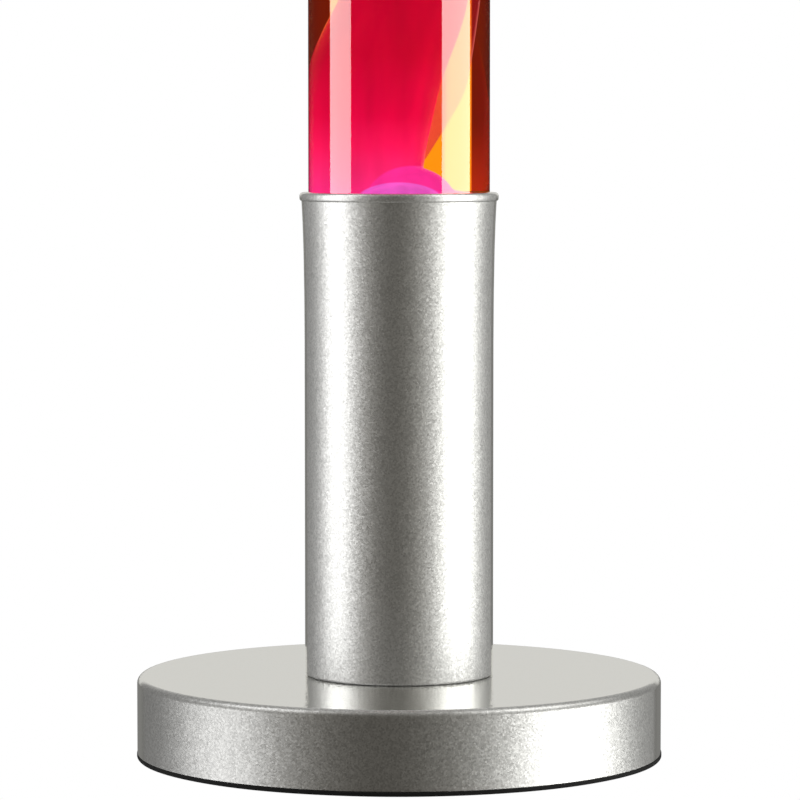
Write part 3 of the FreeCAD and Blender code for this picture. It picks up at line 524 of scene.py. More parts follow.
# From the straight tube to the bead: how far out, how far from the rim, and the rounding
MOUTH = [(0.0, 56.0, 8.0), (0.22, 34.0, 8.0), (0.6, 18.0, 5.0), (1.0, 8.5, 2.5), (1.3, 3.5, 0.3)]
BEAD = [(BEAD_OUT, 3.5, 1.5), (BEAD_OUT, 0.0, 1.5), (-TUBE_WALL, 0.0, 1.4)]

pedestal = as_object("pedestal_sleeve", lathe([
    (TUBE_BORE - FLANGE, BASE_TOP),
    (TUBE_RADIUS, BASE_TOP, 1.2),
    *[(TUBE_RADIUS + out, RIM_TOP - down, rounding) for out, down, rounding in MOUTH + BEAD],
    (TUBE_BORE, BASE_TOP + TUBE_WALL),
    (TUBE_BORE - FLANGE, BASE_TOP + TUBE_WALL)]))
piece(pedestal, "stand", silver, "silver_paint", "pedestal_tube", sharp_degrees=SPUN_CORNERS)

# %% [markdown]
# Now that both are there, light linking can say which light reaches which piece. The base is lit by its own
# boxes alone. The low boxes shine through the base on to the foot of the tube, in place of the light that a
# glossy base throws up at it: only the tube itself gets in their way.


# %% Light linking
def linked(name, thing, state):
    """A collection that takes one piece in, or leaves only that one out."""
    group = bpy.data.collections.new(name)
    group.objects.link(thing)
    group.collection_objects[0].light_linking.link_state = state
    return group


base_alone = linked("base_alone", base, "INCLUDE")
tube_alone = linked("tube_alone", pedestal, "INCLUDE")
all_but_base = linked("all_but_base", base, "EXCLUDE")
for box in base_boxes:
    box.light_linking.receiver_collection = base_alone
for box in main_boxes + low_boxes:
    box.light_linking.receiver_collection = all_but_base
for box in low_boxes:
    box.light_linking.blocker_collection = tube_alone
print(len(base_boxes), "lights for the base,", len(main_boxes + low_boxes), "for the rest")

# %% [markdown]
# ## Cap
# The cap is out of the photograph's frame, so it follows what such lamps have: the pedestal's own tube
# again, upside down, with the same rolled rim and a closed top.

# %% Cap
CAP_RIM, LAMP_TOP = 652.0, 760.0

cap = as_object("cap_cup", lathe([
    (0, LAMP_TOP - TUBE_WALL),
    (TUBE_BORE, LAMP_TOP - TUBE_WALL, 3.0),
    *[(TUBE_RADIUS + out, CAP_RIM + down, rounding) for out, down, rounding in reversed(MOUTH + BEAD)],
    (TUBE_RADIUS, LAMP_TOP, 4.0),
    (0, LAMP_TOP)], closed=False))
piece(cap, "cap", silver, "silver_paint", "cap_shell", sharp_degrees=SPUN_CORNERS)

# %% [markdown]
# ## Glass bottle
# The bottle is blown glass: straight sides, a round shoulder, a short neck and a pushed-up floor. Its skin
# has an inside and an outside, so light bends as it does in real glass. A strong clear coat on the outside
# alone stands for the bright strips that the soft boxes leave on it.

# %% Clear glass
GLASS_SKIN = (37.0, 38.0)
NO_TINT = (0.0, 0.0, 0.0, 1.0)


def glass_look(start):
    where = place(start)
    outside = rising(start, distance(start, where, weights=(1, 1, 0)), *GLASS_SKIN)
    outside = outside * (1 - start.node("ShaderNodeNewGeometry", output="Backfacing"))
    return {
        "Base Color": blend(start, noise(start, where, 60), (1.0, 1.0, 1.0), (0.99, 1.0, 0.995)),
        "Roughness": 0.0,
        "IOR": 1.5,
        "Specular Tint": NO_TINT,
        "Transmission Weight": 1.0,
        "Coat Weight": outside,
        "Coat IOR": 2.15,
        "Coat Roughness": 0.0}


glass = finish("clear_glass", glass_look)

# %% [markdown]
# The outline runs up the outside from the floor's middle, over the neck's bead and lip, and down inside.

# %% Bottle
GLASS_RADIUS, GLASS_WALL, NECK = 38.75, 2.5, 16.0
BOTTLE_LOW, SHOULDER, NECK_FOOT, BOTTLE_TOP = 204.0, 662.0, 684.75, 712.75
STAND_RING, PUSHED_UP = 25.0, 14.0
STEPS_GLASS = 224

bottle = as_object("bottle_glass", lathe([
    (0, BOTTLE_LOW + 5),
    (PUSHED_UP, BOTTLE_LOW + 4.2, 8.0),
    (STAND_RING, BOTTLE_LOW, 3.0),
    (GLASS_RADIUS, BOTTLE_LOW, 8.0),
    (GLASS_RADIUS, SHOULDER + 15, 15.0),
    (GLASS_RADIUS - 18, SHOULDER + 15.6, 2.5),
    (NECK, NECK_FOOT - 2, 4.0),
    (NECK, NECK_FOOT + 7, 0.4),
    (NECK + 1, NECK_FOOT + 7.6, 0.6),
    (NECK + 1, NECK_FOOT + 9.4, 0.6),
    (NECK, NECK_FOOT + 10, 0.4),
    (NECK, BOTTLE_TOP, 0.8),
    (NECK - GLASS_WALL, BOTTLE_TOP, 0.8),
    (NECK - GLASS_WALL, NECK_FOOT - 3, 4.0),
    (GLASS_RADIUS - 19.5, SHOULDER + 13, 2.5),
    (GLASS_RADIUS - GLASS_WALL, SHOULDER + 12.5, 12.4),
    (GLASS_RADIUS - GLASS_WALL, BOTTLE_LOW + GLASS_WALL, 5.5),
    (STAND_RING, BOTTLE_LOW + GLASS_WALL, 3.0),
    (PUSHED_UP, BOTTLE_LOW + 6.7, 8.0),
    (0, BOTTLE_LOW + 7.5)], closed=False, steps=STEPS_GLASS))
piece(bottle, "bottle", glass, "clear_glass", "glass_bottle")

# %% [markdown]
# ## Liquid
# The liquid is dyed amber. Its skin reaches a tenth of a millimetre into the glass, because a gap there
# would act as a film of air and mirror the light back. It is one plain filling with the wax inside
# it, so a ray goes straight from liquid to wax.


# %% Amber liquid
def liquid_look(start):
    where = place(start)
    haze = noise(start, where, 40)
    return {
        "Base Color": blend(start, haze, (1.0, 0.275, 0.004), (1.0, 0.305, 0.006)),
        "Roughness": 0.0,
        "IOR": 1.40,
        "Specular Tint": NO_TINT,
        "Transmission Weight": 1.0}


amber = finish("amber_liquid", liquid_look)

WETTING = 0.1
LIQUID_RADIUS, LIQUID_LOW = GLASS_RADIUS - GLASS_WALL + WETTING, BOTTLE_LOW + GLASS_WALL - WETTING

liquid = as_object("liquid_filling", lathe([
    (0, LIQUID_LOW + 5.0),
    (PUSHED_UP, LIQUID_LOW + 4.2, 8.0),
    (STAND_RING, LIQUID_LOW, 3.0),
    (LIQUID_RADIUS, LIQUID_LOW, 5.5),
    (LIQUID_RADIUS, SHOULDER),
    (0, SHOULDER)], closed=False, steps=STEPS_GLASS))
piece(liquid, "bottle", amber, "amber_liquid", "liquid")

# %% [markdown]
# ## Wax
# Warm wax glows from the bulb under it, and that glow is painted into the wax as emission: hot pink and
# magenta low down, crimson higher up. The painted glow is written for wax seen through amber liquid, so its
# blue is stronger than it looks. Two lumps that have just left the pool are brightest, with a painted
# shine.
# It shows through the wax in front of them, so the mask that paints each one measures the distance from
# its middle with little weight on depth.

# %% Wax glow
# Each shine has a middle, the weight of each axis, a radius and a colour
SHINES = [((4.4, -4.0, 236.4), (1.0, 0.15, 1.0), 17.0, (0.32, 0.018, 1.45)),
          ((0.1, -12.0, 236.8), (1.0, 0.15, 1.7), 16.5, (0.28, 0.065, 2.8))]
SHINE_BLUR, FLANK = 0.4, (0.025, 0.035)
GLOW_FOOT, GLOW_SPAN, GLOW_STRENGTH = 240, 100, 3.1
WAX_RED = (0.35, 0.004, 0.03, 1.0)


def wax_look(start):
    where = place(start)
    height = axis(start, where, "Z") * 1000
    drift = 6 * (noise(start, where, 26) - 0.5)
    tone = (height + drift - GLOW_FOOT) / GLOW_SPAN
    glow = start.node("ShaderNodeValToRGB", {"stops": [
        (0.00, (0.33, 0.017, 1.12)),
        (0.10, (0.32, 0.012, 0.78)),
        (0.21, (0.325, 0.004, 0.47)),
        (0.34, (0.258, 0.0, 0.25)),
        (0.60, (0.198, 0.0, 0.136)),
        (1.00, (0.168, 0.0, 0.114))]}, {0: tone})
    for middle, weights, radius, colour in SHINES:
        away = distance(start, where, middle, weights)
        near = 1 - rising(start, away, radius - SHINE_BLUR, radius + SHINE_BLUR)
        glow = blend(start, near, glow, colour)
    # Painted light: the wax's left flank glows up to 60 % brighter, and slow upright streaks vary the glow.
    lit_left_flank = rising(start, 0 - axis(start, where, "X"), *FLANK)
    upright = start.node("ShaderNodeMapping", sockets={"Vector": where, "Scale": (1.0, 1.0, 0.12)})
    streaks = noise(start, upright, 7) - 0.5
    painted_glow_scale = 1 + 0.6 * lit_left_flank + 0.6 * streaks
    glow = start.node("ShaderNodeVectorMath", {"operation": "SCALE"}, {0: glow, "Scale": painted_glow_scale})
    return {
        "Base Color": WAX_RED,
        "Roughness": 0.05,
        "IOR": 1.11,
        "Emission Color": glow,
        "Emission Strength": GLOW_STRENGTH,
        "Normal": bumps(start, noise(start, where, 14), 0.4, 0.3)}


wax = finish("glowing_wax", wax_look)

# %% [markdown]
# The rising column is a stack of rings that are bridged one to the next and subdivided smooth.

# %% Wax column
CAVITY = GLASS_RADIUS - GLASS_WALL
STEPS_COLUMN, SKIN_LEVELS = 32, 2
# Height above the rim in millimetres, then across, along and radius as shares of the cavity
COLUMN = [(-8, -0.34, 0.06, 0.54), (12, -0.34, 0.06, 0.53), (32, -0.28, 0.06, 0.565),
          (52, -0.215, 0.05, 0.585), (74, -0.01, 0.03, 0.58), (100, 0.16, -0.02, 0.48),
          (130, 0.21, -0.06, 0.38), (160, 0.14, -0.04, 0.33), (186, 0.00, 0.02, 0.42),
          (206, -0.08, 0.05, 0.52), (224, -0.11, 0.05, 0.44), (236, -0.12, 0.05, 0.20)]


def ring_edges(verts):
    """The edges of a ring, each of them once."""
    inside = set(verts)
    edges = [edge for vert in verts for edge in vert.link_edges if inside.issuperset(edge.verts)]
    return list(dict.fromkeys(edges))


def column(stations):
    """A ring at each station, each bridged to the next."""
    shape = bmesh.new()
    rings = []
    for index, (height, across, along, share) in enumerate(stations):
        made = bmesh.ops.create_circle(
            shape, cap_ends=index in (0, len(stations) - 1), segments=STEPS_COLUMN,
            radius=share * CAVITY * MM,
            matrix=shift(across * CAVITY, along * CAVITY, RIM_TOP + height))
        rings.append(made["verts"])
    for lower, upper in zip(rings, rings[1:]):
        bmesh.ops.bridge_loops(shape, edges=ring_edges(lower) + ring_edges(upper))
    bmesh.ops.recalc_face_normals(shape, faces=shape.faces[:])
    return shape


rising_column = as_object("rising_column", column(COLUMN))
skin = rising_column.modifiers.new("skin", "SUBSURF")
skin.levels = skin.render_levels = SKIN_LEVELS
settle(rising_column)
print("column:", len(COLUMN), "rings,", len(rising_column.data.vertices), "points")

# %% [markdown]
# Lumps are balls pulled into eggs, and the pool is turned on the lathe. A voxel remesh then melts column,
# lumps and pool into one skin, as wax does, and a few rounds of smoothing soften where they meet.

# %% Wax mass
LUMPS = [((2.5, -4.0, 237.6), 31.4, 31.4), ((0.5, -12.0, 233.6), 35.0, 26.0)]
POOL_MIDDLE, POOL_LOW = BOTTLE_LOW + 7.8, BOTTLE_LOW + 5.1
POOL_GAP, STEPS_POOL, VOXEL, SOFTENING = 0.3, 96, 0.9, 4


def egg(name, middle, width, height, taper=0.0):
    """A rounded piece of wax, drawn towards its top by taper like a drop."""
    shape = bmesh.new()
    bmesh.ops.create_icosphere(shape, subdivisions=5, radius=0.5)
    for vert in shape.verts:
        swell = 1 + taper * (0.25 - vert.co.z ** 2) * (-4 * vert.co.z)
        vert.co.x, vert.co.y = vert.co.x * swell, vert.co.y * swell
    bmesh.ops.scale(shape, vec=Vector((width, width, height)) * MM, verts=shape.verts[:])
    bmesh.ops.transform(shape, matrix=shift(*middle), verts=shape.verts[:])
    return as_object(name, shape)


def melt(thing, voxel_mm, rounds):
    """Make everything in an object one soft skin."""
    remesh = thing.modifiers.new("melt", "REMESH")
    remesh.mode, remesh.voxel_size = "VOXEL", voxel_mm * MM
    soften = thing.modifiers.new("soften", "SMOOTH")
    soften.factor, soften.iterations = 0.5, rounds
    return settle(thing)


def joined(name, *things):
    """Several objects' meshes as one object."""
    shape = bmesh.new()
    for thing in things:
        shape.from_mesh(thing.data)
        bpy.data.objects.remove(thing)
    return as_object(name, shape)


pool = as_object("pool", lathe([
    (0, POOL_MIDDLE),
    (STAND_RING, POOL_MIDDLE),
    (STAND_RING, POOL_LOW),
    (CAVITY - 1.5, POOL_LOW),
    (CAVITY - POOL_GAP, BOTTLE_LOW + 8),
    (CAVITY - POOL_GAP, RIM_TOP - 6, 2.0),
    (18, RIM_TOP + 2.0, 10.0),
    (0, RIM_TOP + 3)], closed=False, steps=STEPS_POOL))
lumps = [egg("lump", *lump) for lump in LUMPS]
wax_mass = melt(joined("wax_column", rising_column, pool, *lumps), VOXEL, SOFTENING)
piece(wax_mass, "bottle", wax, "red_wax", "wax_mass", sharp_degrees=NO_CORNERS)

# %% [markdown]
# A thin fold of wax trails beside the column and shows as a red haze over the amber, a glow painted on as
# emission. It is a flat grid whose points are spread between the column's middle and a leaning edge, then
# thickened. Each of its two faces lets about half of the light through, and more to the right, where the
# fold runs out thin; where it leaves the column behind, its painted glow is halved. Its edge catches the
# light high up as a painted glint, so the grid's last row carries an attribute that the finish reads.

# %% Look of the fold
# Where the fold turns thin and where it leaves the column behind it, in millimetres to the right
FOLD_THIN, FOLD_FREE = (11, 15), (20.3, 21.3)


def fold_look(start):
    where = place(start)
    ripple = noise(start, where, 18)
    reach = axis(start, where, "X") * 1000
    shaded_side_or_thin_fold, free = rising(start, reach, *FOLD_THIN), rising(start, reach, *FOLD_FREE)
    # Painted glint: a bright line along the fold's last row, where the fold is free of the column.
    edge = start.node("ShaderNodeAttribute", {"attribute_name": "edge"}, output="Fac") * free
    glow = blend(start, ripple, (0.19, 0.0, 0.16), (0.23, 0.0, 0.21))
    glow = blend(start, 0.5 * free, glow, (0.0, 0.0, 0.0))
    return {
        "Base Color": WAX_RED,
        "Roughness": 0.45,
        "Specular IOR Level": 0.0,
        "Emission Color": blend(start, edge, glow, (0.25, 0.10, 0.68)),
        "Emission Strength": GLOW_STRENGTH,
        "Alpha": (0.46 + 0.10 * ripple) * (1 - 0.55 * shaded_side_or_thin_fold) + 0.30 * edge}


veil = finish("wax_fold", fold_look)

# %% [markdown]
# The edge first leans steeply, then drifts. The smaller of the two lines counts, with a soft bend between.

# %% Wax fold
FOLD_LOW, FOLD_HIGH, FOLD_DEPTH = 246.0, 344.0, 8.0
FOLD_LEFT, FOLD_RIGHT, FOLD_THICKNESS = -5.0, 14.75, 0.4
FOLD_FOOT, FOLD_LEAN, FOLD_DRIFT, FOLD_BEND, FOLD_CURVE = 3.0, 0.43, 0.13, 1.5, 0.006
STEPS_FOLD, LAST_ROW = (32, 64), 0.49


def fold_edge(height):
    """How far right the fold reaches at a height."""
    up = height - FOLD_LOW
    steep, slow = FOLD_FOOT + FOLD_LEAN * up, FOLD_RIGHT + FOLD_DRIFT * up
    return (steep + slow - math.hypot(steep - slow, FOLD_BEND)) / 2


fold = bmesh.new()
bmesh.ops.create_grid(fold, x_segments=STEPS_FOLD[0], y_segments=STEPS_FOLD[1], size=0.5)
glint_layer = fold.verts.layers.float.new("edge")
for vert in fold.verts:
    vert[glint_layer] = 1.0 if vert.co.x > LAST_ROW else 0.0
    height = FOLD_LOW + (FOLD_HIGH - FOLD_LOW) * (vert.co.y + 0.5)
    across = FOLD_LEFT + (fold_edge(height) - FOLD_LEFT) * (vert.co.x + 0.5)
    vert.co = Vector((across, FOLD_DEPTH - FOLD_CURVE * across ** 2, height)) * MM
bmesh.ops.solidify(fold, geom=fold.faces[:], thickness=FOLD_THICKNESS * MM)
bmesh.ops.recalc_face_normals(fold, faces=fold.faces[:])
piece(as_object("wax_fold", fold), "bottle", veil, "red_wax")

# %% [markdown]
# Two blobs have broken free and drift by themselves. A slight taper makes each look like rising wax.

# %% Free blobs
# Middle, width, height and taper
BLOB, DROP = ((3.625, -2.175, 554), 38, 50, 0.35), ((-20.3, 1.8125, 390), 19, 24, 0.3)

piece(egg("drifting_blob", *BLOB), "blob", wax, "red_wax", "wax_blob", sharp_degrees=NO_CORNERS)
piece(egg("drifting_drop", *DROP), "drop", wax, "red_wax", "wax_drop", sharp_degrees=NO_CORNERS)

# %% [markdown]
# ## Floor pad
# A disc of black foam keeps the base off the floor. Its cut edge stands a little proud of the metal and is
# never quite true, so the rim of the lathed disc is pushed in and out by two slow waves. Four holes let
# the heads of the cover's screws through.


# %% Floor pad
def foam_look(start):
    pores = noise(start, place(start), 0.8, detail=4)
    return {
        "Base Color": blend(start, pores, (0.003, 0.003, 0.003), (0.014, 0.014, 0.015)),
        "Roughness": 0.8 + 0.15 * pores,
        "Specular IOR Level": 0.2,
        "Normal": bumps(start, pores, 0.15)}


PAD_RADIUS, HEAD_HOLE, SCREW_CIRCLE = BASE_RADIUS + 0.35, 12.0, 95.0
# How many times round, from which angle, and the share of the radius
PAD_WAVES = [(3, 0.6, 0.0012), (11, 0.0, 0.0008)]

pad_shape = lathe([
    (0, 0),
    (PAD_RADIUS, 0, 0.6),
    (PAD_RADIUS, PAD_TOP, 0.3),
    (0, PAD_TOP)], closed=False, steps=STEPS_BASE)
for vert in pad_shape.verts:
    angle = math.atan2(vert.co.y, vert.co.x)
    wave = sum(share * math.sin(times * angle + first) for times, first, share in PAD_WAVES)
    vert.co.x, vert.co.y = vert.co.x * (1 + wave), vert.co.y * (1 + wave)
pad = as_object("floor_pad", pad_shape)
cut_away(pad, *[rod(HEAD_HOLE, 6, matrix) for matrix in quarter_turns(SCREW_CIRCLE, 0)])
piece(pad, "stand", finish("black_foam", foam_look), "black_pad", "base_pad")

# %% [markdown]
# ## Plain finishes
# The fittings inside the lamp keep their exact solids and only need a finish. Most materials are two close
# colours in a fine noise, and the same noise drives the roughness and a slight bump, so one function
# describes them all: its colours, the range of its roughness and the size of its specks.


# %% Speckled finishes
def speckled(name, first, second, roughness, speck_mm, bump_mm=0.02, metallic=0.0):
    """A finish that wavers between two colours, and its roughness and surface with them."""
    def look(start):
        specks = noise(start, place(start), speck_mm, detail=5)
        low, high = roughness
        return {
            "Base Color": blend(start, specks, first, second),
            "Roughness": low + (high - low) * specks,
            "Metallic": metallic,
            "Normal": bumps(start, specks, bump_mm)}
    return finish(name, look)


def coat(material, *nodes):
    """Give solids of the frame a finish of ours."""
    for name in nodes:
        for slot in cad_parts[name].material_slots:
            slot.material = material


# %% [markdown]
# Each material inside the lamp gets its finish, on the solids that are made of it.

# %% Finishes of the fittings
zinc = speckled("zinc_steel", (0.46, 0.48, 0.52), (0.64, 0.65, 0.66), (0.24, 0.46), 2.5, metallic=1.0)
coat(zinc, "base_cover", "clamp_plate", "clamp_bolts", "clamp_washers", "clamp_nuts", "seat_ring",
     "socket_bracket", "bracket_screws", "threaded_nipple", "nipple_nuts")
brass = speckled("brass", (0.62, 0.42, 0.15), (0.80, 0.60, 0.28), (0.18, 0.38), 3.0, metallic=1.0)
coat(brass, "screw_shell", "contact_leaf", "terminal_screws")
nickel = speckled("nickel", (0.60, 0.58, 0.53), (0.74, 0.72, 0.68), (0.15, 0.32), 2.0, metallic=1.0)
coat(nickel, "bulb_screw_cap", "bulb_tip")
phenolic = speckled("phenolic", (0.018, 0.009, 0.006), (0.05, 0.022, 0.012), (0.16, 0.3), 6.0)
coat(phenolic, "holder_dome", "holder_sleeve")
coat(speckled("porcelain", (0.80, 0.79, 0.75), (0.86, 0.86, 0.83), (0.08, 0.16), 4.0), "porcelain_insert")
coat(speckled("block_plastic", (0.72, 0.70, 0.62), (0.80, 0.78, 0.71), (0.3, 0.45), 1.5), "terminal_block")
coat(speckled("black_glass", (0.004, 0.004, 0.005), (0.02, 0.018, 0.022), (0.06, 0.14), 2.0),
     "bulb_insulator")
coat(speckled("moulded_plastic", (0.010, 0.010, 0.010), (0.024, 0.024, 0.025), (0.36, 0.52), 0.6),
     "cap_ring")

# %% [markdown]
# Two finishes ask for more. Cast concrete has fine sand, and scattered pits where air was trapped, painted
# darker as the shade inside them.

# %% Concrete
PITS_PER_METRE, PIT_EDGE = 160.0, (0.12, 0.24)


def concrete_look(start):
    where = place(start)
    sand = noise(start, where, 1.2, detail=6)
    spread = {"Vector": where, "Scale": PITS_PER_METRE}
    cells = start.node("ShaderNodeTexVoronoi", sockets=spread, output="Distance")
    pits_and_shade = 1 - rising(start, cells, *PIT_EDGE)
    grey = blend(start, sand, (0.27, 0.26, 0.24), (0.45, 0.44, 0.41))
    return {
        # Painted shade: the pits take a darker grey than the sand.
        "Base Color": blend(start, pits_and_shade, grey, (0.13, 0.125, 0.115)),
        "Roughness": 0.8 + 0.15 * sand,
        "Normal": bumps(start, sand - 1.5 * pits_and_shade, 0.4)}


coat(finish("concrete", concrete_look), "ballast")

# %% [markdown]
# A reflector bulb is silvered inside up to its brow and frosted above it, where it glows.

# %% Reflector bulb
BULB_BROW = (0.1494, 0.1514)


def bulb_look(start):
    where = place(start)
    frosted = rising(start, axis(start, where, "Z"), *BULB_BROW)
    grain = noise(start, where, 0.5, detail=4)
    return {
        "Base Color": blend(start, frosted, (0.78, 0.78, 0.78), (0.93, 0.92, 0.89)),
        "Metallic": 1 - frosted,
        "Roughness": 0.10 + 0.06 * grain + 0.3 * frosted,
        "Emission Color": blend(start, frosted, (0.0, 0.0, 0.0), (1.0, 0.72, 0.38)),
        "Emission Strength": 1.6,
        "Normal": bumps(start, grain, 0.01)}


coat(finish("reflector_bulb", bulb_look), "bulb_envelope")

# %% [markdown]
# ## Rubber, foam and pressed tin
# The small soft pieces are turned on the lathe with well rounded edges. The bottle stands on a gasket with
# a groove round its top. The grommet, where a cord would come in, is turned upright and then laid along the
# base's rear wall.

# %% Gasket and grommet
STEPS_SOFT, STEPS_GROMMET = 128, 96
GASKET_BORE, GASKET_RADIUS, GASKET_LOW, GROOVE_LOW = 27, 36, 202, 203.6

silicone = speckled("silicone", (0.50, 0.49, 0.47), (0.60, 0.59, 0.57), (0.45, 0.6), 1.0)
gasket = lathe([
    (GASKET_BORE, GASKET_LOW, 0.5), (GASKET_RADIUS, GASKET_LOW, 0.5), (GASKET_RADIUS, BOTTLE_LOW, 0.5),
    (33.5, BOTTLE_LOW, 0.2), (33.2, GROOVE_LOW, 0.2), (30.8, GROOVE_LOW, 0.2), (30.5, BOTTLE_LOW, 0.2),
    (GASKET_BORE, BOTTLE_LOW, 0.5)], steps=STEPS_SOFT)
piece(as_object("bottle_gasket", gasket), "stand", silicone, "silicone", "seat_gasket")

CORD_BORE, BUSH_WAIST, BUSH_RADIUS = 3.6, 6, 8
# Where the inner flange, the waist and the outer flange end
BUSH_INNER, BUSH_WALL, BUSH_OUTER, BUSH_REAR = 2, 3.785, 5.785, 108.715

rubber = speckled("black_rubber", (0.008, 0.008, 0.008), (0.022, 0.021, 0.020), (0.5, 0.7), 0.7)
grommet = lathe([
    (CORD_BORE, 0, 0.5), (BUSH_RADIUS, 0, 0.7), (BUSH_RADIUS, BUSH_INNER, 0.5), (BUSH_WAIST, BUSH_INNER),
    (BUSH_WAIST, BUSH_WALL), (BUSH_RADIUS, BUSH_WALL, 0.4), (BUSH_RADIUS, BUSH_OUTER, 1.9),
    (CORD_BORE, BUSH_OUTER, 0.9)], steps=STEPS_GROMMET)
bmesh.ops.transform(grommet, verts=grommet.verts[:],
                    matrix=shift(0, BUSH_REAR, CORD_HEIGHT) @ Matrix.Rotation(-math.pi / 2, 4, "X"))
piece(as_object("cord_bush", grommet), "stand", rubber, "black_rubber", "cord_grommet")

# %% [markdown]
# The neck is shut by a tin closure with a foam liner in it. A wave round the closure's skirt gives its grip
# ribs, between two plain bands.

# %% Liner and closure
LINER_TOP = BOTTLE_TOP + 1.5
liner_foam = speckled("liner_foam", (0.66, 0.63, 0.56), (0.76, 0.74, 0.68), (0.7, 0.9), 0.6, 0.1)
liner = lathe([(0, BOTTLE_TOP), (NECK, BOTTLE_TOP, 0.5), (NECK, LINER_TOP, 0.5), (0, LINER_TOP)],
              closed=False, steps=STEPS_SOFT)
piece(as_object("liner_disc", liner), "bottle", liner_foam, "liner", "closure_liner")

TIN_BORE, TIN_RADIUS, TIN_LOW, TIN_TOP, TIN_PANEL = 16.2, 16.8, 698.25, 714.85, 714.55
GRIP_RIBS, GRIP_DEPTH, GRIP_LOW, GRIP_HIGH, GRIP_FROM = 60, 0.18, 701.6, 711.4, 16.5

tinplate = speckled("tinplate", (0.62, 0.58, 0.50), (0.76, 0.72, 0.64), (0.2, 0.36), 4.0, metallic=1.0)
closure = lathe([
    (0, LINER_TOP), (TIN_BORE, LINER_TOP, 0.4), (TIN_BORE, TIN_LOW, 0.2), (TIN_RADIUS, TIN_LOW, 0.3),
    (TIN_RADIUS, 700.6, 0.3), (TIN_RADIUS, 701.4, 0.3), (TIN_RADIUS, 706, 0.5), (TIN_RADIUS, 711.6, 0.5),
    (TIN_RADIUS, TIN_TOP, 0.9), (9, TIN_TOP, 0.4), (8.4, TIN_PANEL, 0.3), (0, TIN_PANEL)],
    closed=False, steps=GRIP_RIBS * 6)
for vert in closure.verts:
    if Vector(vert.co[:2]).length > GRIP_FROM * MM and GRIP_LOW * MM < vert.co.z < GRIP_HIGH * MM:
        wave = 1 + math.cos(GRIP_RIBS * math.atan2(vert.co.y, vert.co.x))
        rib = 1 - GRIP_DEPTH / TIN_RADIUS * wave
        vert.co.x, vert.co.y = vert.co.x * rib, vert.co.y * rib
piece(as_object("neck_closure", closure), "bottle", tinplate, "closure_metal", "bottle_closure")

# %% [markdown]
# ## Wires
# A wire is a ring of points that is moved along its route. Straight runs extrude the ring and bends spin it
# about the bend's middle, so the wire keeps its round section.

# %% Wires
STEPS_WIRE = 20


def wire_start(diameter, where, along):
    """A new shape with the first ring of a wire, square to its direction."""
    shape = bmesh.new()
    facing = Vector(along).to_track_quat("Z", "Y").to_matrix().to_4x4()
    bmesh.ops.create_circle(shape, segments=STEPS_WIRE, radius=diameter / 2 * MM,
                            matrix=shift(*where) @ facing)
    return shape, shape.edges[:]


def wire_run(shape, ring, offset):
    """Draw a ring straight on and return the new one."""
    made = bmesh.ops.extrude_edge_only(shape, edges=ring)["geom"]
    verts = [item for item in made if isinstance(item, bmesh.types.BMVert)]
    bmesh.ops.translate(shape, verts=verts, vec=Vector(offset) * MM)
    return [item for item in made if isinstance(item, bmesh.types.BMEdge) and set(item.verts) <= set(verts)]


def wire_bend(shape, ring, middle, about, degrees, steps):
    """Turn a ring about a middle and return the new one."""
    verts = list(dict.fromkeys(vert for edge in ring for vert in edge.verts))
    made = bmesh.ops.spin(shape, geom=ring + verts, cent=Vector(middle) * MM, axis=about, dvec=(0, 0, 0),
                          angle=math.radians(degrees), steps=steps)["geom_last"]
    return [item for item in made if isinstance(item, bmesh.types.BMEdge)]


def wire_end(name, shape):
    """Close both ends of a wire."""
    bmesh.ops.remove_doubles(shape, verts=shape.verts[:], dist=SAME_POINT)
    bmesh.ops.holes_fill(shape, edges=[edge for edge in shape.edges if edge.is_boundary])
    bmesh.ops.recalc_face_normals(shape, faces=shape.faces[:])
    return as_object(name, shape)


# %% [markdown]
# The coil on the bottle's floor is four half turns about two middles, each a little wider than the last.

# %% Heating coil
COIL_WIRE, COIL_RADIUS, COIL_STEP, COIL_HEIGHT = 2.0, 26.0, 1.5, 207.8
STEPS_HALF_TURN = 48

coil, coil_ring = wire_start(COIL_WIRE, (COIL_RADIUS, 0, COIL_HEIGHT), (0, 1, 0))
for half_turn in range(4):
    coil_middle = (COIL_STEP * (half_turn % 2), 0, COIL_HEIGHT)
    coil_ring = wire_bend(coil, coil_ring, coil_middle, (0, 0, 1), 180, STEPS_HALF_TURN)
piece(wire_end("warm_coil", coil), "bottle", zinc, "steel", "heating_coil")

# %% [markdown]
# Each lead runs from the terminal block under the bracket and turns once, up the nipple to the insert.

# %% Leads
LEAD, LEAD_BEND, STEPS_BEND = 2.0, 4.0, 12
LEAD_LOW, LEAD_TOP, BLOCK_FACE, POLE, NIPPLE_SIDE = 43, 62.5, 17, 4, 1.7


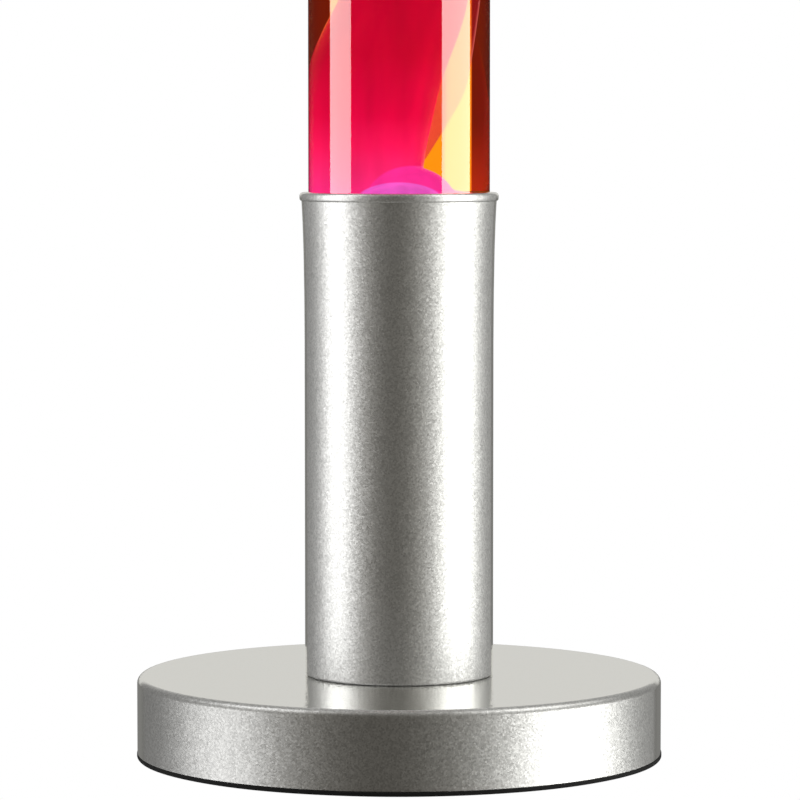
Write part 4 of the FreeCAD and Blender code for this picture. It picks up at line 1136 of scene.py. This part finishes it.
def lead(name, side, material, slot, node):
    """One lead, on one side of the lamp's middle."""
    start = Vector((side * POLE, BLOCK_FACE, LEAD_LOW))
    corner = Vector((side * NIPPLE_SIDE, 0, LEAD_LOW))
    end = Vector((side * NIPPLE_SIDE, 0, LEAD_TOP))
    ahead, upwards = (corner - start).normalized(), Vector((0, 0, 1))
    shape, ring = wire_start(LEAD, start, ahead)
    ring = wire_run(shape, ring, corner - start - ahead * LEAD_BEND)
    bend_middle = corner + (upwards - ahead) * LEAD_BEND
    ring = wire_bend(shape, ring, bend_middle, ahead.cross(upwards), 90, STEPS_BEND)
    wire_run(shape, ring, end - corner - upwards * LEAD_BEND)
    piece(wire_end(name, shape), "stand", material, slot, node)


brown = speckled("brown_sleeve", (0.08, 0.028, 0.010), (0.12, 0.045, 0.018), (0.35, 0.5), 1.2)
blue = speckled("blue_sleeve", (0.010, 0.045, 0.20), (0.020, 0.075, 0.30), (0.35, 0.5), 1.2)
lead("live_wire", 1, brown, "brown_lead", "live_lead")
lead("neutral_wire", -1, blue, "blue_lead", "neutral_lead")

# %% [markdown]
# ## Cover screws
# Four screws hold the cover plate under the base, and their heads show in the pad's holes. Each is lathed
# with a domed head, and two crossed bars cut the driver's recess.

# %% Cover screws
STEPS_SCREW = 48
SCREW = [(0, 0.3), (1.6, 0.32, 0.4), (4, 1.1, 0.4), (4, 1.8, 0.1), (2, 1.8), (2, 14.6),
         (1.2, 15.8), (0, 15.8)]
RECESS, RECESS_MIDDLE = (4.4, 0.9, 1.2, 1), 0.7

screws = []
for matrix in quarter_turns(SCREW_CIRCLE, 0):
    screw = as_object("cover_screw", lathe(SCREW, closed=False, steps=STEPS_SCREW))
    for angle in (0, math.pi / 2):
        bar = bmesh.new()
        bmesh.ops.create_cube(bar, size=MM, matrix=Matrix.Rotation(angle, 4, "Z")
                              @ shift(0, 0, RECESS_MIDDLE) @ Matrix.Diagonal(RECESS))
        cut_away(screw, bar)
    screw.data.transform(matrix)
    screws.append(screw)
piece(joined("pan_screws", *screws), "stand", zinc, "steel", "cover_screws")
